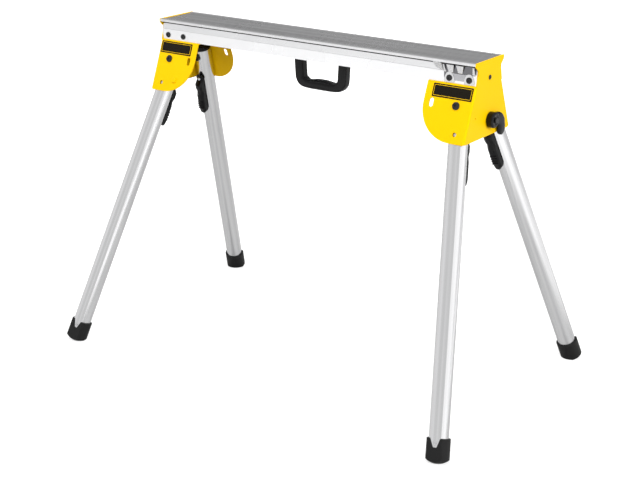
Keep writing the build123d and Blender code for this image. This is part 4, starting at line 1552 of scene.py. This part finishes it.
@dataclass
class WallBracket:
    """One pressed bracket on the beam's wall: two lobes, slanted tabs, a flag, and dark sheets of painted
    shade behind its openings.
    """

    node: str
    edge: float = 0.35
    wall: float = 54.0
    sheet: float = 1.5
    tab_sheet: float = 1.2
    back_gap: float = 0.1
    lip_reach: float = 60.6
    head: float = 802.5
    knee: float = 785.0
    lobes: Pair = (386.8, 436.6)
    lobe_shape: tuple[Pair, ...] = (
        (-12.6, 762.0), (-13.2, 768.0), (-11.2, 776.0), (-7.5, 783.0), (-3.0, 785.8), (3.0, 785.8),
        (7.5, 783.0), (11.2, 776.0), (13.2, 768.0), (12.6, 762.0),
    )
    tabs: tuple[tuple[float, float, float, float], ...] = (
        (371.5, 374.5, 373.0, 378.5), (381.0, 399.5, 385.0, 396.0), (405.5, 424.0, 408.5, 419.5),
        (446.5, 450.5, 444.0, 450.5),
    )
    # Outline of the dark sheet of painted shade behind the bracket's upper part.
    recess: tuple[Pair, ...] = (
        (371.5, 802.5), (451.0, 802.5), (451.0, 783.5), (380.0, 783.5), (376.5, 768.0), (373.5, 768.0),
    )
    # Outline of the mid-grey sheet of painted shade between the lobes.
    hollow: tuple[Pair, ...] = ((396.0, 783.4), (428.0, 783.4), (424.0, 768.0), (400.0, 768.0))
    flag: tuple[Triple, ...] = (
        (345.0, 61.2, 807.5), (368.5, 61.2, 804.5), (371.5, 56.2, 786.5), (352.0, 56.2, 793.0),
    )

    def slab(self, corners: Sequence[Triple], sheet: float) -> Mesh:
        """Draw a flat or slanted sheet from its outer corners.

        Args:
            corners: place along the beam, reach out of it and height of each outer corner.
            sheet: its thickness.

        Returns:
            The mesh.
        """
        outer = [Vector((x, -reach, z)) for x, reach, z in corners]
        inner = [point + Vector((0, sheet, 0)) for point in outer]
        return lofted([outer, inner], IN_FRAME, "bracket_sheet")

    def build(self, shop: Workshop) -> None:
        """Build the bracket's light sheets, and behind them the dark and mid-grey sheets of painted shade.

        Args:
            shop: finishes and trees.
        """
        face = self.wall + self.sheet
        sheets = []
        for middle in self.lobes:
            sheets.append(self.slab([(middle + x, face, z) for x, z in self.lobe_shape], self.sheet))
        for top_left, top_right, low_left, low_right in self.tabs:
            top = [(x, self.lip_reach, self.head) for x in (top_left, top_right)]
            low = [(x, face, self.knee) for x in (low_right, low_left)]
            sheets.append(self.slab(top + low, self.tab_sheet))
        sheets.append(self.slab(self.flag, self.tab_sheet))
        settle(self.piece(f"{self.node}_made", sheets), shop.finish_of(self.node), self.node)
        # Painted shade: a dark and a mid-grey sheet behind the bracket's openings stand in for the shade in
        # its recesses.
        behind, thin = self.wall + self.sheet / 2, self.sheet / 2 - self.back_gap
        for name, outline, finish in (
            ("recess", self.recess, "shaded_steel"), ("hollow", self.hollow, "spring_steel"),
        ):
            back = self.piece(f"{self.node}_{name}", [self.slab([(x, behind, z) for x, z in outline], thin)])
            fit(back, shop.materials[finish], BODY_OF[self.node])

    def piece(self, name: str, meshes: Sequence[Mesh]) -> Object:
        """Join sheets, turn them to the rear where the bracket is there, and break their edges.

        Args:
            name: the piece's name.
            meshes: the sheets, drawn at the front.

        Returns:
            The piece.
        """
        mesh = joined(name, meshes)
        if self.node.endswith("rear"):
            mesh.transform(end_turn("left"))
        return linked(name, evened(name, mesh, EDGE_ANGLE, self.edge))


@dataclass(frozen=True)
class Lamp:
    """One square lamp, with its place and side in metres and its power in watts."""

    name: str
    place: Triple
    side: float
    power: float
    aim: Triple = (0, 0, 0.6)

    def hang(self) -> None:
        """Hang the lamp, unseen by what shines."""
        data = bpy.data.lights.new(self.name, "AREA")
        data.size = self.side
        data.energy = self.power
        lamp = linked(self.name, data)
        lamp.visible_glossy = False
        lamp.location = self.place
        lamp.rotation_mode = "QUATERNION"
        lamp.rotation_quaternion = (Vector(self.aim) - Vector(self.place)).to_track_quat("-Z", "Y")


@dataclass(frozen=True)
class Patch:
    """A soft patch of light or shade round an aim.

    Its span says where it starts and where it is full, on the floor in metres along the
    aim and in the surround in cosines.
    """

    aim: Triple
    span: Pair
    level: float


@dataclass
class Studio:
    """Floor, light and camera."""

    azimuth: float = 35.838
    elevation: float = 20.505
    camera_place: Triple = (1.7894, -2.4919, 1.4155)
    focal_pixels: float = 1299.2
    image_width: float = 634.0
    sensor: float = 36.0
    floor_half: float = 40.0
    floor_colour: Triple = (0.44, 0.44, 0.44)
    floor_clouds: Pair = (3.0, 2.0)
    floor_dark: float = 0.995
    floor_roughness: float = 0.9
    glow: Pair = (0.63, 0.95)
    glow_reach: Pair = (1.2, 4.0)
    shines: tuple[Patch, ...] = (
        Patch((0.35, -0.94, 0.0), (0.4, 1.0), 0.72), Patch((0.95, 0.3, 0.0), (0.85, 1.35), 0.45),
    )
    soft_level: float = 0.38
    shine_level: float = 0.76
    window: Patch = Patch((0.95, 0.1, 0.3), (0.35, 0.95), 0.5)
    sky: Patch = Patch((-0.4, 0.0, 0.92), (0.6, 0.95), 0.4)
    flag: Patch = Patch((-0.5, 0.8, 0.33), (0.1, 0.85), -0.45)
    lamps: tuple[Lamp, ...] = (
        Lamp("key", (2.6, -3.0, 3.0), 1.8, 115.0),
        Lamp("fill", (-2.2, -1.9, 3.0), 1.6, 55.0),
        Lamp("top", (0.4, -1.2, 3.6), 1.6, 40.0),
        Lamp("side", (4.0, 0.3, 1.8), 1.6, 85.0),
        Lamp("back", (-2.4, 3.4, 2.6), 1.8, 150.0),
    )

    def build(self) -> None:
        """Set up the whole studio."""
        self.camera()
        self.floor()
        self.world()
        for lamp in self.lamps:
            lamp.hang()
        bpy.context.scene.view_settings.view_transform = "Standard"

    def camera(self) -> None:
        """Set the camera where the photograph was taken from."""
        data = bpy.data.cameras.new("camera")
        data.sensor_width = self.sensor
        data.lens = self.focal_pixels / self.image_width * self.sensor
        camera = linked("camera", data)
        azimuth, elevation = math.radians(self.azimuth), math.radians(self.elevation)
        level = math.cos(elevation)
        back = Vector((math.sin(azimuth) * level, -math.cos(azimuth) * level, math.sin(elevation)))
        camera.location = self.camera_place
        camera.rotation_mode = "QUATERNION"
        camera.rotation_quaternion = (-back).to_track_quat("-Z", "Y")
        bpy.context.scene.camera = camera

    def floor(self) -> None:
        """Lay the pale floor, with a plain glow for the eye and bright patches for what shines."""
        mesh = bpy.data.meshes.new("floor")
        corners = rectangle(self.floor_half, self.floor_half)
        mesh.from_pydata([(x, y, 0) for x, y in corners], [], [(0, 1, 2, 3)])
        graph = Graph("floor_paper")
        dark = dimmed(self.floor_colour, self.floor_dark)
        graph.tint(graph.noise(*self.floor_clouds), dark, self.floor_colour)
        graph.feed(graph.shader, {"Roughness": self.floor_roughness, "Specular IOR Level": 0.0})
        place = graph.place()
        reach = graph.add("ShaderNodeVectorMath", {0: place}, operation="LENGTH").outputs["Value"]
        zones = [
            graph.ramp(graph.along(place, patch.aim), patch.span, (0, patch.level))
            for patch in self.shines
        ]
        path = graph.add("ShaderNodeLightPath").outputs
        straight = graph.larger(path["Is Camera Ray"], path["Is Transmission Ray"])
        seen = graph.product(straight, graph.ramp(reach, self.glow_reach, self.glow))
        mirrored = graph.product(path["Is Glossy Ray"], graph.larger(*zones))
        glow = graph.add("ShaderNodeEmission", {"Color": WHITE, "Strength": graph.total(seen, mirrored)})
        paper = graph.shader.outputs["BSDF"]
        both = graph.add("ShaderNodeAddShader", {0: paper, 1: glow.outputs["Emission"]})
        graph.feed(graph.output, {"Surface": both.outputs["Shader"]})
        mesh.materials.append(graph.material)
        linked("floor", mesh)

    def world(self) -> None:
        """Light the stand softly from all round, with bright and dark patches for what shines."""
        world = bpy.data.worlds.new("studio")
        world.use_nodes = True
        room = Wiring(world.node_tree)
        direction = room.add("ShaderNodeTexCoord").outputs["Generated"]
        level = self.shine_level
        for patch in (self.window, self.sky, self.flag):
            toward = room.along(direction, Vector(patch.aim).normalized())
            level = room.total(room.ramp(toward, patch.span, (0, patch.level), "SMOOTHSTEP"), level)
        soft, shine, plain = (
            room.add("ShaderNodeBackground", {"Color": WHITE, "Strength": strength}).outputs[0]
            for strength in (self.soft_level, level, 1.0)
        )
        path = room.add("ShaderNodeLightPath").outputs
        mirrored = room.larger(path["Is Glossy Ray"], path["Is Transmission Ray"])
        lit = room.add("ShaderNodeMixShader", {"Fac": mirrored, 1: soft, 2: shine}).outputs[0]
        seen = room.add("ShaderNodeMixShader", {"Fac": path["Is Camera Ray"], 1: lit, 2: plain}).outputs[0]
        room.add("ShaderNodeOutputWorld", {"Surface": seen})
        bpy.context.scene.world = world


def dress_rest(shop: Workshop) -> None:
    """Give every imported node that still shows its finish.

    Args:
        shop: finishes and trees.
    """
    for node, item in frame["nodes"].items():
        if item.hide_render:
            continue
        if not item.material_slots:
            item.data.materials.append(None)
        for slot in item.material_slots:
            slot.material = shop.finish_of(node)
        LOG.info("%s keeps its packed shape", node)


def main() -> None:
    """Build the stand's looks and the studio."""
    logging.basicConfig(level=logging.INFO, format="%(message)s")
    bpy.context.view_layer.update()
    shop = Workshop()
    Beam().build(shop)
    Housings().build(shop)
    for corner in CORNERS:
        Leg(corner).build(shop)
    Handle().build(shop)
    for side in ("right", "left"):
        EndHook(side).build(shop)
    for node in ("wall_bracket_front", "wall_bracket_rear"):
        WallBracket(node).build(shop)
    dress_rest(shop)
    Studio().build()


if __name__ == "__main__":
    main()
